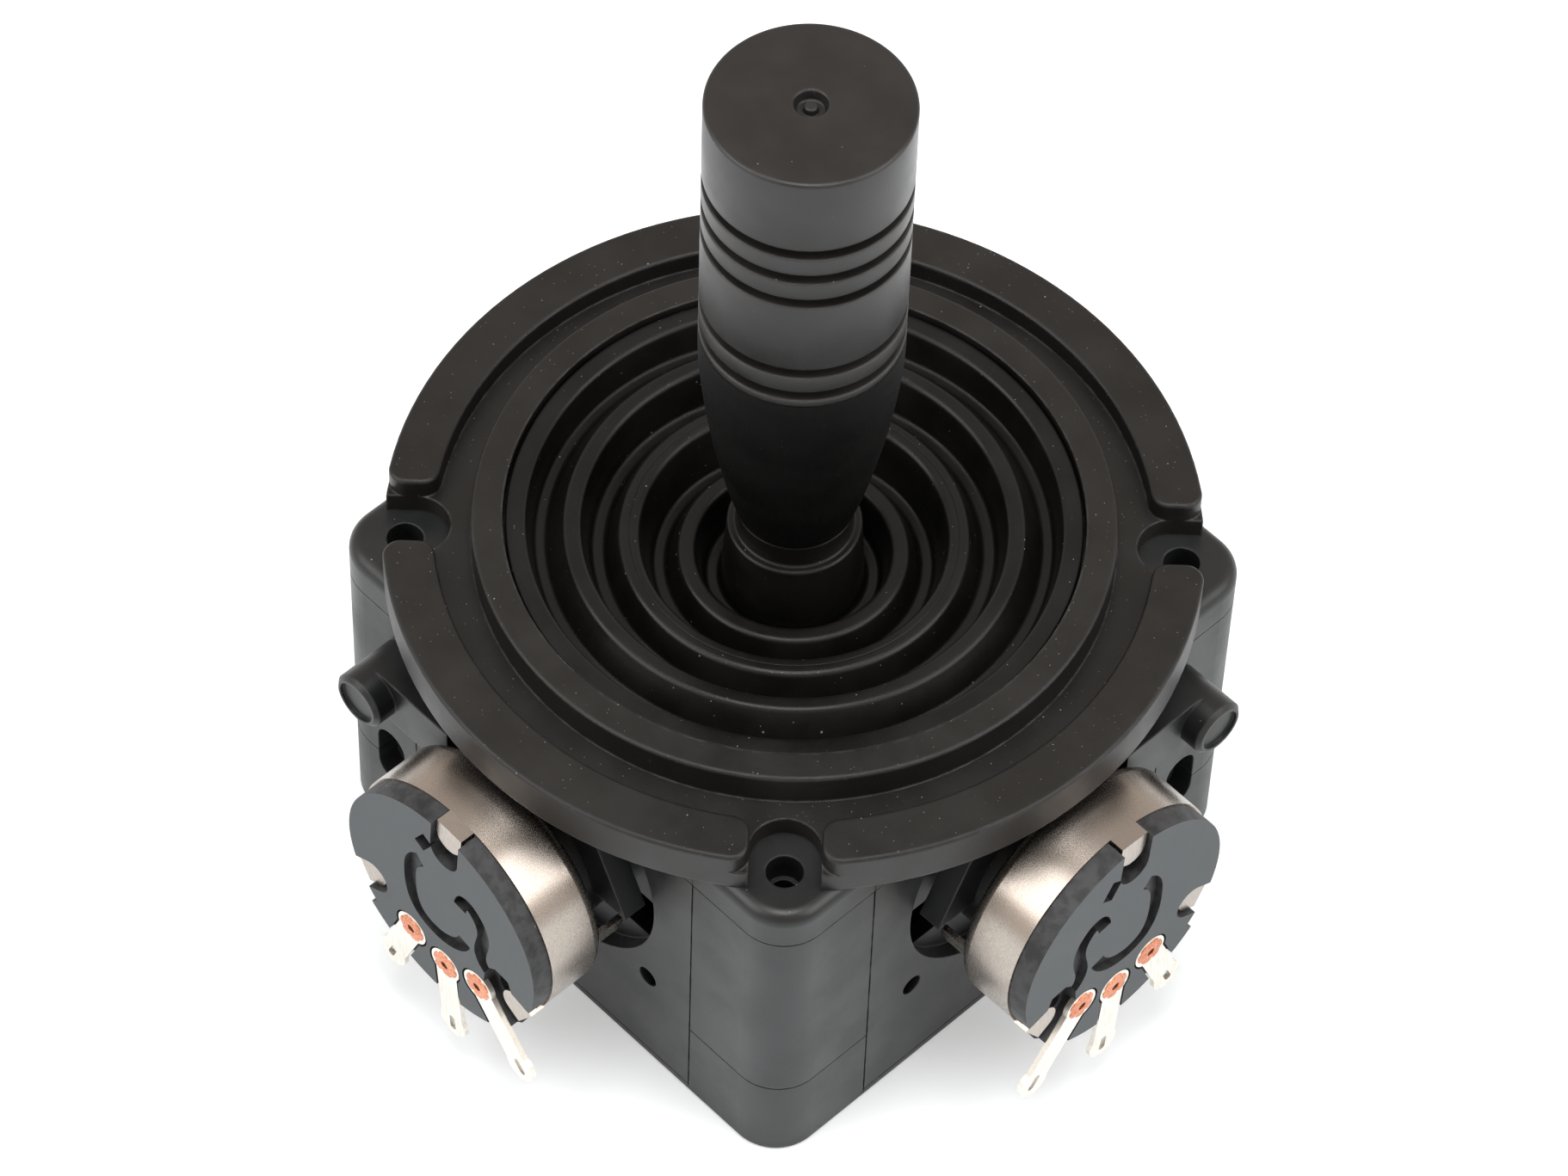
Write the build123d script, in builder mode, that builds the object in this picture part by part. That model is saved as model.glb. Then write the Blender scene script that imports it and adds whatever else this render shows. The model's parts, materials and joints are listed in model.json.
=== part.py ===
from build123d import *
import math
import os

os.makedirs("parts", exist_ok=True)

# A two-axis panel joystick. Millimetres, +Z up. The origin is the centre of the four
# panel screw holes, on the top face of the housing. +X and -Y carry the potentiometers.

# Housing
BODY_WIDTH = 57.0
BODY_HEIGHT = 36.0
BODY_CORNER_RADIUS = 4.4
BODY_WALL = 3.0
TOP_THICKNESS = 3.8
TOP_EDGE_RADIUS = 1.2
CORNER_WIDTH = 10.8
CORNER_DEPTH = 26.1
RIM_THICKNESS = 1.0
RIM_EDGE_RADIUS = 0.4
PAN_THICKNESS = 2.5
SEAM = 0.12
SEAM_GROOVE_DEPTH = 0.3

# Panel screw holes
HOLE_INSET = 4.75
HOLE_RADIUS = 1.6
HOLE_DEPTH = 3.0
PILOT_RADIUS = 1.2
PILOT_DEPTH = 14.0

# Base screws
SCREW_INSET = 6.0
SCREW_RADIUS = 1.25
SCREW_CLEARANCE = 0.15
SCREW_LENGTH = 14.0
SCREW_HEAD_RADIUS = 2.5
SCREW_HEAD_HEIGHT = 1.8
SCREW_HEAD_DEPTH = 3.0
SCREW_CROSS = 3.5
SCREW_CROSS_WIDTH = 0.7

# Bezel
BEZEL_RADIUS = 35.5
BEZEL_RIM_HEIGHT = 4.0
BEZEL_RIM_WIDTH = 4.5
BEZEL_FLOOR = 2.0
COLLAR_RADIUS = 27.8
COLLAR_HEIGHT = 5.1
BORE_RADIUS = 23.2
LEDGE_HEIGHT = 3.3
RIM_GAP = 6.1
RIM_END_RADIUS = 1.6
SCREW_RECESS_RADIUS = 3.05
SCREW_RECESS_SHIFT = 0.9
BEZEL_EDGE_RADIUS = 0.35

# Boot
BOOT_FLANGE_RADIUS = 25.1
BOOT_FLANGE_TOP = 4.6
BOOT_WALL = 0.9
BOOT_CLEARANCE = 0.15
BOOT_COLLAR_TOP = 4.5
BOOT_COLLAR_RADIUS = 5.85
BOOT_CREST_RADII = (9.25, 14.25, 19.1)
BOOT_CREST_TOPS = (0.4, 2.6, 4.0)
BOOT_VALLEY_RADII = (7.0, 11.6, 16.9, 22.0)
BOOT_VALLEY_TOPS = (-3.5, -2.0, 0.1, 1.5)
BOOT_CREST_WIDTH = 1.5
BOOT_VALLEY_WIDTH = 1.1
BOOT_FOLD_RADIUS = 0.35

# Handle
HANDLE_TOP = 59.0
HANDLE_RADIUS = 8.65
HANDLE_SPLIT = 31.0
HANDLE_EDGE_RADIUS = 0.45
GROOVE_HEIGHTS = (50.4, 47.35, 44.3, 35.25, 32.35)
GROOVE_WIDTH = 1.0
GROOVE_DEPTH = 0.55
TOP_PIT_RADIUS = 1.45
TOP_PIT_DEPTH = 0.5
TOP_NUB_RADIUS = 0.6
TOP_NUB_HEIGHT = 0.35
SKIRT_FOOT = 7.3
SKIRT_FOOT_RADIUS = 5.2
SKIRT_WAIST = 18.7
SKIRT_WAIST_RADIUS = 7.7
SKIRT_FLARE = 0.19
NECK_RADIUS = 4.95
NECK_FOOT = -3.0
SHAFT_BORE_CLEARANCE = 0.05

# Lever and its two yokes, which cross at the pivot
PIVOT_DEPTH = 13.6
RUNNING_FIT = 0.06
SHAFT_RADIUS = 3.0
SHAFT_TOP = 50.0
SHAFT_CHAMFER = 0.5
HUB_RADIUS = 5.0
HUB_SLEEVE_RADIUS = 4.2
HUB_SLEEVE_HEIGHT = 8.0
SHAFT_SEAT = 2.7
TAIL_RADIUS = 2.0
TAIL_FLOOR_GAP = 0.9
SLIDER_RADIUS = 2.8
SLIDER_LENGTH = 4.8
SLOT_CLEARANCE = 0.45
FRAME_SIDE_GAP = 0.3
FRAME_INSIDE_X = 12.4
FRAME_WALL = 2.5
FRAME_HEIGHT = 7.0
CROSS_PIN_RADIUS = 2.0
CROSS_PIN_OVERHANG = 1.3
CLIP_THICKNESS = 0.6
CLIP_RADIUS = 3.5
CLIP_MOUTH = 2.8
JOURNAL_RADIUS = 4.0
BAIL_SIDE_GAP = 3.2
BAIL_COLLAR_GAP = 0.7
BAIL_THICKNESS = 3.2
BAIL_RAIL = 2.2
TILT_LIMIT = 20.0

# Bearings in the side plates
BUSH_RADIUS = 5.0
BUSH_LENGTH = 3.4
BUSH_FACE = 1.8
BEARING_BOSS_RADIUS = 7.5
JOURNAL_END_GAP = 0.2

# Return springs and their posts
SPRING_ROOM = 4.4
ARM_THICKNESS = 2.0
ARM_RADIUS = 6.0
ARM_WIDTH = 4.0
POST_RADIUS = 1.0
MOVING_POST_DEPTH = 8.2
FIXED_POST_DEPTH = 10.9
POST_GAP = 0.4
WIRE_RADIUS = 0.4
SPRING_INNER_RADIUS = 4.4
SPRING_TURNS = 3.0
SPRING_PITCH = 0.9
LEG_LENGTH = 12.4

# Apron that hangs from the top on the two potentiometer faces
APRON_DEPTH = 2.5
APRON_INNER_END = 12.1
APRON_INNER_TOP = 5.6
APRON_FOOT = 12.7
BOSS_INSET = 10.1
BOSS_DROP = 8.8
BOSS_RADIUS = 2.7
BOSS_REACH = 6.0
LEDGE_DEPTH = 3.8
LEDGE_END = 9.0
BOSS_EDGE = 0.4
BOSS_PIT_RADIUS = 2.05
BOSS_PIT_DEPTH = 0.35
CATCH_INSET = 7.4
CATCH_TOP = 22.0
CATCH_WIDTH = 3.5
CATCH_HEIGHT = 7.0
CATCH_DEPTH = 2.2
DRAIN_OFFSET = 12.3
DRAIN_DROP = 23.8
DRAIN_RADIUS = 1.05
WELL_CLEARANCE = 1.0
WELL_DEPTH = 1.6
WINDOW_OFFSET = 9.4
WINDOW_DROP = 17.9
WINDOW_WIDTH = 4.6
WINDOW_HEIGHT = 5.4

# Potentiometers
POT_RADIUS = 12.0
POT_SEAT = 4.8
POT_HUB_RADIUS = 8.0
POT_CAN_DEPTH = 6.0
POT_CAN_WALL = 0.5
POT_CAN_EDGE = 1.2
POT_COVER_THICKNESS = 2.0
COVER_STEP = 0.2
COVER_FOOT_REACH = 0.8
COVER_FOOT_ANGLES = (-136.0, -91.0, -46.0)
POT_BUSHING_RADIUS = 4.5
POT_BUSHING_END = 1.3
POT_FLANGE_RADIUS = 7.0
POT_FLANGE_THICKNESS = 0.8
POT_TRACK_INSET = 0.8
POT_TRACK_THICKNESS = 0.8
POT_ROTOR_RADIUS = 8.0
POT_ROTOR_THICKNESS = 1.4
POT_ROTOR_GAP = 0.3
POT_SHAFT_INSERT = 5.0
WIPER_WIDTH = 2.4
WIPER_THICKNESS = 0.3
WIPER_TIP_RADIUS = 0.6
TAB_WIDTH = 3.0
TAB_REACH = 1.5
TAB_THICKNESS = 0.5
TAB_FOLD = 3.0
TAB_CLEARANCE = 0.2
TOP_NOTCH_ANGLE = 86.0
SIDE_NOTCH_ANGLES = (-152.0, -33.0)
NOTCH_DEPTHS = (5.0, 3.8, 4.4)
COVER_GROOVE_WIDTH = 1.5
COVER_GROOVE_DEPTH = 0.8
INNER_GROOVE = ((2.5, 2.75), (3.5, 4.15), (4.8, 3.15), (5.4, 0.8), (5.0, -1.2), (5.9, -3.4))
OUTER_GROOVE = ((-2.5, 4.6), (-3.7, 2.9), (-3.9, 0.9), (-3.75, -1.2), (-2.7, -3.4), (-0.6, -4.2),
                (1.5, -3.7), (3.0, -1.9))
COVER_POCKET = ((5.3, -5.9), (5.6, -2.9), (6.9, -1.9), (8.5, -2.1), (8.9, -3.4), (13.0, -4.6),
                (13.4, -8.0), (9.3, -11.1))
COVER_POCKET_DEPTH = 1.2
COVER_PIT = (-2.0, 7.8)
COVER_PIT_WIDTH = 1.3
COVER_PIT_HEIGHT = 2.2
COVER_PIT_TURN = -31.0
LUG_SEAT_DEPTH = 0.55
LUG_THICKNESS = 0.5
LUG_WIDTH = 2.6
LUG_INSET = 3.5
LUG_ANGLES = (-118.0, -88.0, -58.0)
LUG_LEANS = (-112.5, -85.0, -52.5)
LUG_LENGTHS = (7.1, 8.4, 8.6)
LUG_EYE_RADIUS = 1.75
LUG_END_RADIUS = 1.6
LUG_HOLE_LENGTH = 1.8
LUG_HOLE_WIDTH = 0.7
LUG_SEAT_GAP = 0.2
KEY_ANGLE = -13.0
KEY_INSET = 1.6
KEY_WIDTH = 2.4
KEY_LENGTH = 3.6
RIVET_RADIUS = 1.45
RIVET_HEIGHT = 0.25
RIVET_BORE_RADIUS = 0.4
RIVET_SHANK_RADIUS = 0.58

# Worked-out places
HALF = BODY_WIDTH / 2
HOLE_PITCH = BODY_WIDTH - 2 * HOLE_INSET
SCREW_PITCH = BODY_WIDTH - 2 * SCREW_INSET
BOSS_OFFSET = HALF - BOSS_INSET
CATCH_OFFSET = HALF - CATCH_INSET
PLATE_WIDTH = BODY_WIDTH - 2 * CORNER_WIDTH - 2 * SEAM
PLATE_TOP = -TOP_THICKNESS - SEAM
PLATE_FOOT = -BODY_HEIGHT + RIM_THICKNESS + SEAM
JOURNAL_END = HALF - BUSH_FACE - JOURNAL_END_GAP
BEARING_BOSS_FACE = BUSH_FACE + BUSH_LENGTH
COLLAR_FACE = HALF - BEARING_BOSS_FACE - SPRING_ROOM
ROOM_BESIDE = COLLAR_FACE - BAIL_COLLAR_GAP
TAIL_ROOM = BODY_HEIGHT - PAN_THICKNESS - PIVOT_DEPTH - TAIL_FLOOR_GAP
ROOM_BELOW = TAIL_ROOM - (SLIDER_LENGTH - BAIL_THICKNESS) / 2
BAIL_OUTER_RADIUS = min(ROOM_BESIDE, ROOM_BELOW)
BAIL_INNER_RADIUS = BAIL_OUTER_RADIUS - BAIL_THICKNESS
SLIDER_MIDDLE = BAIL_OUTER_RADIUS - BAIL_THICKNESS / 2
TAIL_END = SLIDER_MIDDLE + SLIDER_LENGTH / 2
PIN_HALF = BAIL_INNER_RADIUS - BAIL_SIDE_GAP
FRAME_X = FRAME_INSIDE_X / 2 + FRAME_WALL
FRAME_Y = PIN_HALF - CROSS_PIN_OVERHANG
FRAME_INSIDE_Y = 2 * (FRAME_Y - FRAME_WALL)
SLOT_HALF = SLIDER_RADIUS + SLOT_CLEARANCE
BAIL_HALF = SLOT_HALF + BAIL_RAIL
COVER_BASE = POT_SEAT + POT_CAN_DEPTH
COVER_TOP = COVER_BASE + POT_COVER_THICKNESS
HANDLE_BORE = SHAFT_RADIUS + SHAFT_BORE_CLEARANCE
HUB_LENGTH = FRAME_INSIDE_Y - 2 * FRAME_SIDE_GAP
LUG_RADIUS = POT_RADIUS - LUG_INSET
ROTOR_BASE = POT_SEAT + POT_CAN_WALL + POT_FLANGE_THICKNESS + POT_ROTOR_GAP
ROTOR_TOP = ROTOR_BASE + POT_ROTOR_THICKNESS
TRACK_BASE = COVER_BASE - POT_TRACK_THICKNESS


def side_plane(normal, across):
    """A plane on a side face, centred on the pivot axis, with its local y upwards."""
    centre = Vector(*normal) * HALF
    return Plane(origin=(centre.X, centre.Y, -PIVOT_DEPTH), x_dir=across, z_dir=normal)


LEFT_FACE = side_plane((0, -1, 0), (1, 0, 0))
RIGHT_FACE = side_plane((1, 0, 0), (0, 1, 0))
REAR_LEFT_FACE = side_plane((-1, 0, 0), (0, -1, 0))
REAR_RIGHT_FACE = side_plane((0, 1, 0), (-1, 0, 0))
PIVOT_PLANE = Plane.XY.offset(-PIVOT_DEPTH)
AXIS_X = Plane(origin=(0, 0, -PIVOT_DEPTH), x_dir=(0, 1, 0), z_dir=(1, 0, 0))
AXIS_Y = Plane(origin=(0, 0, -PIVOT_DEPTH), x_dir=(-1, 0, 0), z_dir=(0, 1, 0))
BACK_X = Plane(origin=(0, 0, -PIVOT_DEPTH), x_dir=(0, -1, 0), z_dir=(-1, 0, 0))


def save(part, label):
    """Label a finished sub-part and write it."""
    part.part.label = label
    export_step(part.part, f"parts/{label}.step")


def local_z(z):
    """Height on a side plane of a height on the body."""
    return z + PIVOT_DEPTH


# Upper housing: top plate, four corner posts, two aprons with their bosses
def cut_catch(face, hand):
    """The tall catch window beside the far corner, through post and foot."""
    with BuildSketch(face) as outline:
        with Locations((-hand * CATCH_OFFSET, local_z(-CATCH_TOP) - CATCH_HEIGHT / 2)):
            SlotOverall(CATCH_HEIGHT, CATCH_WIDTH, rotation=90)
    extrude(outline.sketch, amount=-CATCH_DEPTH, mode=Mode.SUBTRACT)


def add_apron(face, hand):
    """The apron over the plate's top, with its inner end sloping away from the corner."""
    with BuildSketch(face.offset(SEAM)) as outline:
        with BuildLine():
            Polyline(
                (-hand * POT_RADIUS, local_z(0)),
                (hand * APRON_INNER_TOP, local_z(0)),
                (hand * APRON_INNER_END, local_z(-APRON_FOOT)),
                (-hand * POT_RADIUS, local_z(-APRON_FOOT)),
                close=True,
            )
        make_face()
        Circle(POT_HUB_RADIUS + SEAM, mode=Mode.SUBTRACT)
    extrude(outline.sketch, amount=APRON_DEPTH - SEAM)
    with BuildSketch(face.offset(-SEAM_GROOVE_DEPTH)) as outline:
        with Locations((-hand * (POT_RADIUS - SEAM), local_z(-TOP_THICKNESS / 2))):
            width = POT_RADIUS + APRON_INNER_TOP - SEAM
            Rectangle(width, TOP_THICKNESS, align=(align_for(hand), Align.CENTER))
    extrude(outline.sketch, amount=SEAM_GROOVE_DEPTH + SEAM)


def align_for(hand):
    """Start a rectangle at its outer end, on either hand."""
    return Align.MIN if hand > 0 else Align.MAX


def ledge_outline(hand):
    """The boss's circle and the straight ledge from it towards the potentiometer."""
    with Locations((-hand * BOSS_OFFSET, local_z(-BOSS_DROP))):
        Circle(BOSS_RADIUS)
        width = BOSS_OFFSET - LEDGE_END
        Rectangle(width, 2 * BOSS_RADIUS, align=(align_for(hand), Align.CENTER))


def add_boss(face, hand):
    """The blind boss beside the far corner, with a shallow pit in its end and a ledge behind it."""
    place = (-hand * BOSS_OFFSET, local_z(-BOSS_DROP))
    with BuildSketch(face) as outline:
        ledge_outline(hand)
        with Locations((-hand * (HALF - CORNER_WIDTH / 2), local_z(-BOSS_DROP))):
            Rectangle(CORNER_WIDTH, 2 * BOSS_RADIUS, mode=Mode.INTERSECT)
    extrude(outline.sketch, amount=SEAM)
    with BuildSketch(face.offset(SEAM)) as outline:
        ledge_outline(hand)
    extrude(outline.sketch, amount=LEDGE_DEPTH - SEAM)
    with BuildSketch(face.offset(LEDGE_DEPTH)) as outline:
        with Locations(place):
            Circle(BOSS_RADIUS)
    extrude(outline.sketch, amount=BOSS_REACH - LEDGE_DEPTH - BOSS_EDGE)
    with BuildSketch(face.offset(BOSS_REACH - BOSS_EDGE)) as outline:
        with Locations(place):
            Circle(BOSS_RADIUS)
    extrude(outline.sketch, amount=BOSS_EDGE, taper=45)
    with BuildSketch(face.offset(BOSS_REACH)) as outline:
        with Locations(place):
            Circle(BOSS_PIT_RADIUS)
    extrude(outline.sketch, amount=-BOSS_PIT_DEPTH, mode=Mode.SUBTRACT)


with BuildPart() as upper_housing:
    with BuildSketch(Plane.XY.offset(-TOP_THICKNESS)):
        RectangleRounded(BODY_WIDTH, BODY_WIDTH, BODY_CORNER_RADIUS)
    extrude(amount=TOP_THICKNESS)
    fillet(upper_housing.edges().group_by(Axis.Z)[-1], radius=TOP_EDGE_RADIUS)
    with BuildSketch(Plane.XY.offset(-CORNER_DEPTH)):
        RectangleRounded(BODY_WIDTH, BODY_WIDTH, BODY_CORNER_RADIUS)
        Rectangle(BODY_WIDTH - 2 * CORNER_WIDTH, BODY_WIDTH, mode=Mode.SUBTRACT)
        Rectangle(BODY_WIDTH, BODY_WIDTH - 2 * CORNER_WIDTH, mode=Mode.SUBTRACT)
    extrude(amount=CORNER_DEPTH - TOP_THICKNESS)
    with BuildSketch(Plane.XY.offset(PLATE_TOP)):
        RectangleRounded(BODY_WIDTH, BODY_WIDTH, BODY_CORNER_RADIUS)
        inner = BODY_WIDTH - 2 * SEAM_GROOVE_DEPTH
        RectangleRounded(inner, inner, BODY_CORNER_RADIUS - SEAM_GROOVE_DEPTH, mode=Mode.SUBTRACT)
    extrude(amount=SEAM, mode=Mode.SUBTRACT)
    for side_face, side_hand in ((LEFT_FACE, 1), (RIGHT_FACE, -1)):
        add_apron(side_face, side_hand)
        add_boss(side_face, side_hand)
        cut_catch(side_face, side_hand)
    with BuildSketch(Plane.XY.offset(-TOP_THICKNESS)):
        Circle(BORE_RADIUS)
    extrude(amount=TOP_THICKNESS, mode=Mode.SUBTRACT)
    with BuildSketch():
        with GridLocations(HOLE_PITCH, HOLE_PITCH, 2, 2):
            Circle(HOLE_RADIUS)
    extrude(amount=-HOLE_DEPTH, mode=Mode.SUBTRACT)
    with BuildSketch():
        with GridLocations(HOLE_PITCH, HOLE_PITCH, 2, 2):
            Circle(PILOT_RADIUS)
    extrude(amount=-PILOT_DEPTH, mode=Mode.SUBTRACT)
    with BuildSketch(Plane.XY.offset(-CORNER_DEPTH)):
        with GridLocations(SCREW_PITCH, SCREW_PITCH, 2, 2):
            Circle(SCREW_RADIUS)
    extrude(amount=SCREW_LENGTH - CORNER_DEPTH + BODY_HEIGHT - SCREW_HEAD_DEPTH, mode=Mode.SUBTRACT)
save(upper_housing, "upper_housing")

# Base cover: thin rim, raised pan and four corner feet
with BuildPart() as base_cover:
    with BuildSketch(Plane.XY.offset(-BODY_HEIGHT)):
        RectangleRounded(BODY_WIDTH, BODY_WIDTH, BODY_CORNER_RADIUS)
    extrude(amount=RIM_THICKNESS)
    fillet(base_cover.edges().group_by(Axis.Z)[0], radius=RIM_EDGE_RADIUS)
    pan_width = BODY_WIDTH - 2 * BODY_WALL - 2 * SEAM
    with BuildSketch(Plane.XY.offset(-BODY_HEIGHT)):
        Rectangle(pan_width, pan_width)
    extrude(amount=PAN_THICKNESS)
    with BuildSketch(Plane.XY.offset(RIM_THICKNESS - BODY_HEIGHT)):
        RectangleRounded(BODY_WIDTH, BODY_WIDTH, BODY_CORNER_RADIUS)
        Rectangle(BODY_WIDTH - 2 * CORNER_WIDTH, BODY_WIDTH, mode=Mode.SUBTRACT)
        Rectangle(BODY_WIDTH, BODY_WIDTH - 2 * CORNER_WIDTH, mode=Mode.SUBTRACT)
    extrude(amount=BODY_HEIGHT - RIM_THICKNESS - CORNER_DEPTH - SEAM)
    for side_face, side_hand in ((LEFT_FACE, 1), (RIGHT_FACE, -1)):
        cut_catch(side_face, side_hand)
    with BuildSketch(Plane.XY.offset(-BODY_HEIGHT)):
        with GridLocations(SCREW_PITCH, SCREW_PITCH, 2, 2):
            Circle(SCREW_HEAD_RADIUS + SCREW_CLEARANCE)
    extrude(amount=SCREW_HEAD_DEPTH, mode=Mode.SUBTRACT)
    with BuildSketch(Plane.XY.offset(-BODY_HEIGHT)):
        with GridLocations(SCREW_PITCH, SCREW_PITCH, 2, 2):
            Circle(SCREW_RADIUS + SCREW_CLEARANCE)
    extrude(amount=BODY_HEIGHT - CORNER_DEPTH, mode=Mode.SUBTRACT)
save(base_cover, "base_cover")

with BuildPart() as base_screws:
    seat = -BODY_HEIGHT + SCREW_HEAD_DEPTH
    with BuildSketch(Plane.XY.offset(seat - SCREW_HEAD_HEIGHT)):
        with GridLocations(SCREW_PITCH, SCREW_PITCH, 2, 2):
            Circle(SCREW_HEAD_RADIUS)
    extrude(amount=SCREW_HEAD_HEIGHT)
    with BuildSketch(Plane.XY.offset(seat)):
        with GridLocations(SCREW_PITCH, SCREW_PITCH, 2, 2):
            Circle(SCREW_RADIUS)
    extrude(amount=SCREW_LENGTH)
    with BuildSketch(Plane.XY.offset(seat - SCREW_HEAD_HEIGHT)):
        with GridLocations(SCREW_PITCH, SCREW_PITCH, 2, 2):
            Rectangle(SCREW_CROSS, SCREW_CROSS_WIDTH)
            Rectangle(SCREW_CROSS_WIDTH, SCREW_CROSS)
    extrude(amount=SCREW_HEAD_HEIGHT / 2, mode=Mode.SUBTRACT)
save(base_screws, "base_screws")


# Side plates, each with a bearing boss inside
def plate_body(face):
    """The flat plate between two corner posts, with the bearing boss on its inner side."""
    with BuildSketch(face.offset(-BODY_WALL)) as outline:
        with Locations((0, local_z((PLATE_TOP + PLATE_FOOT) / 2))):
            Rectangle(PLATE_WIDTH, PLATE_TOP - PLATE_FOOT)
    extrude(outline.sketch, amount=BODY_WALL)
    with BuildSketch(face.offset(-BEARING_BOSS_FACE)) as outline:
        Circle(BEARING_BOSS_RADIUS)
    extrude(outline.sketch, amount=BUSH_LENGTH)
    with BuildSketch(face.offset(-BEARING_BOSS_FACE)) as outline:
        Circle(BUSH_RADIUS)
    extrude(outline.sketch, amount=BUSH_LENGTH, mode=Mode.SUBTRACT)


def make_pot_plate(face, hand, label):
    """A plate that carries a potentiometer: round well, seat hub, window and drain."""
    with BuildPart() as plate:
        plate_body(face)
        with BuildSketch(face):
            Circle(POT_RADIUS + WELL_CLEARANCE)
        extrude(amount=-WELL_DEPTH, mode=Mode.SUBTRACT)
        with BuildSketch(face.offset(-BUSH_FACE)):
            Circle(POT_HUB_RADIUS)
        extrude(amount=BUSH_FACE + POT_SEAT)
        with BuildSketch(face.offset(-BUSH_FACE)):
            Circle(POT_BUSHING_RADIUS + RUNNING_FIT)
        extrude(amount=BUSH_FACE + POT_SEAT, mode=Mode.SUBTRACT)
        with BuildSketch(face):
            with Locations((hand * WINDOW_OFFSET, local_z(-WINDOW_DROP))):
                Rectangle(WINDOW_WIDTH, WINDOW_HEIGHT)
            Circle(POT_RADIUS + WELL_CLEARANCE, mode=Mode.INTERSECT)
            Circle(POT_HUB_RADIUS, mode=Mode.SUBTRACT)
        extrude(amount=-BODY_WALL, mode=Mode.SUBTRACT)
        with BuildSketch(face):
            with Locations((hand * DRAIN_OFFSET, local_z(-DRAIN_DROP))):
                Circle(DRAIN_RADIUS)
        extrude(amount=-BODY_WALL, mode=Mode.SUBTRACT)
    save(plate, label)


def make_rear_plate(face, label):
    """A plain plate with a blind bearing and a hole for the fixed spring post."""
    with BuildPart() as plate:
        plate_body(face)
        with BuildSketch(face.offset(-BODY_WALL)):
            with Locations((0, -FIXED_POST_DEPTH)):
                Circle(POST_RADIUS)
        extrude(amount=BODY_WALL / 2, mode=Mode.SUBTRACT)
    save(plate, label)


make_pot_plate(LEFT_FACE, 1, "left_side_plate")
make_pot_plate(RIGHT_FACE, -1, "right_side_plate")
make_rear_plate(REAR_LEFT_FACE, "rear_left_plate")
make_rear_plate(REAR_RIGHT_FACE, "rear_right_plate")

with BuildPart() as axle_bushes:
    for side_face in (LEFT_FACE, RIGHT_FACE, REAR_LEFT_FACE, REAR_RIGHT_FACE):
        with BuildSketch(side_face.offset(-BEARING_BOSS_FACE)):
            Circle(BUSH_RADIUS)
            Circle(JOURNAL_RADIUS + RUNNING_FIT, mode=Mode.SUBTRACT)
        extrude(amount=BUSH_LENGTH)
save(axle_bushes, "axle_bushes")

# Bezel: floor ring, rim in four crescents, collar round the boot
with BuildPart() as bezel:
    with BuildSketch():
        Circle(BEZEL_RADIUS)
        Circle(BORE_RADIUS, mode=Mode.SUBTRACT)
    extrude(amount=BEZEL_FLOOR)
    with BuildSketch(Plane.XY.offset(BEZEL_FLOOR)) as crescents:
        Circle(BEZEL_RADIUS)
        Circle(BEZEL_RADIUS - BEZEL_RIM_WIDTH, mode=Mode.SUBTRACT)
        with PolarLocations(BEZEL_RADIUS, 4, start_angle=45):
            Rectangle(4 * BEZEL_RIM_WIDTH, RIM_GAP, mode=Mode.SUBTRACT)
        fillet(crescents.vertices().filter_by(lambda v: abs(v.Y) > RIM_GAP), radius=RIM_END_RADIUS)
    extrude(amount=BEZEL_RIM_HEIGHT - BEZEL_FLOOR)
    fillet(bezel.edges().group_by(Axis.Z)[-1], radius=BEZEL_EDGE_RADIUS)
    with BuildSketch(Plane.XY.offset(BEZEL_FLOOR)):
        Circle(COLLAR_RADIUS)
        Circle(BORE_RADIUS, mode=Mode.SUBTRACT)
    extrude(amount=COLLAR_HEIGHT - BEZEL_FLOOR)
    fillet(bezel.edges().group_by(Axis.Z)[-1].sort_by(SortBy.RADIUS)[-1], radius=BEZEL_EDGE_RADIUS)
    with BuildSketch(Plane.XY.offset(COLLAR_HEIGHT)):
        Circle(BOOT_FLANGE_RADIUS)
        Circle(BORE_RADIUS, mode=Mode.SUBTRACT)
    extrude(amount=LEDGE_HEIGHT - COLLAR_HEIGHT, mode=Mode.SUBTRACT)
    with BuildSketch():
        with PolarLocations(HOLE_PITCH / 2 * math.sqrt(2) - SCREW_RECESS_SHIFT, 4, start_angle=45):
            Circle(SCREW_RECESS_RADIUS)
            Rectangle(BEZEL_RADIUS / 2, 2 * SCREW_RECESS_RADIUS, align=(Align.MIN, Align.CENTER))
    extrude(amount=BEZEL_FLOOR, mode=Mode.SUBTRACT)
save(bezel, "bezel")


# Boot: a bellows of rings with a flange outside and a collar round the lever's neck
def boot_outline():
    """Top surface of the boot, from its collar outwards to the flange, as (radius, height)."""
    valley_half = BOOT_VALLEY_WIDTH / 2
    crest_half = BOOT_CREST_WIDTH / 2
    folds = [(BOOT_COLLAR_RADIUS, BOOT_COLLAR_TOP)]
    for index, radius in enumerate(BOOT_VALLEY_RADII):
        height = BOOT_VALLEY_TOPS[index]
        folds += [(radius - valley_half, height), (radius + valley_half, height)]
        if index < len(BOOT_CREST_RADII):
            crest = BOOT_CREST_RADII[index]
            top = BOOT_CREST_TOPS[index]
            folds += [(crest - crest_half, top), (crest + crest_half, top)]
    folds += [(BORE_RADIUS - BOOT_CLEARANCE, BOOT_FLANGE_TOP)]
    return folds


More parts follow.
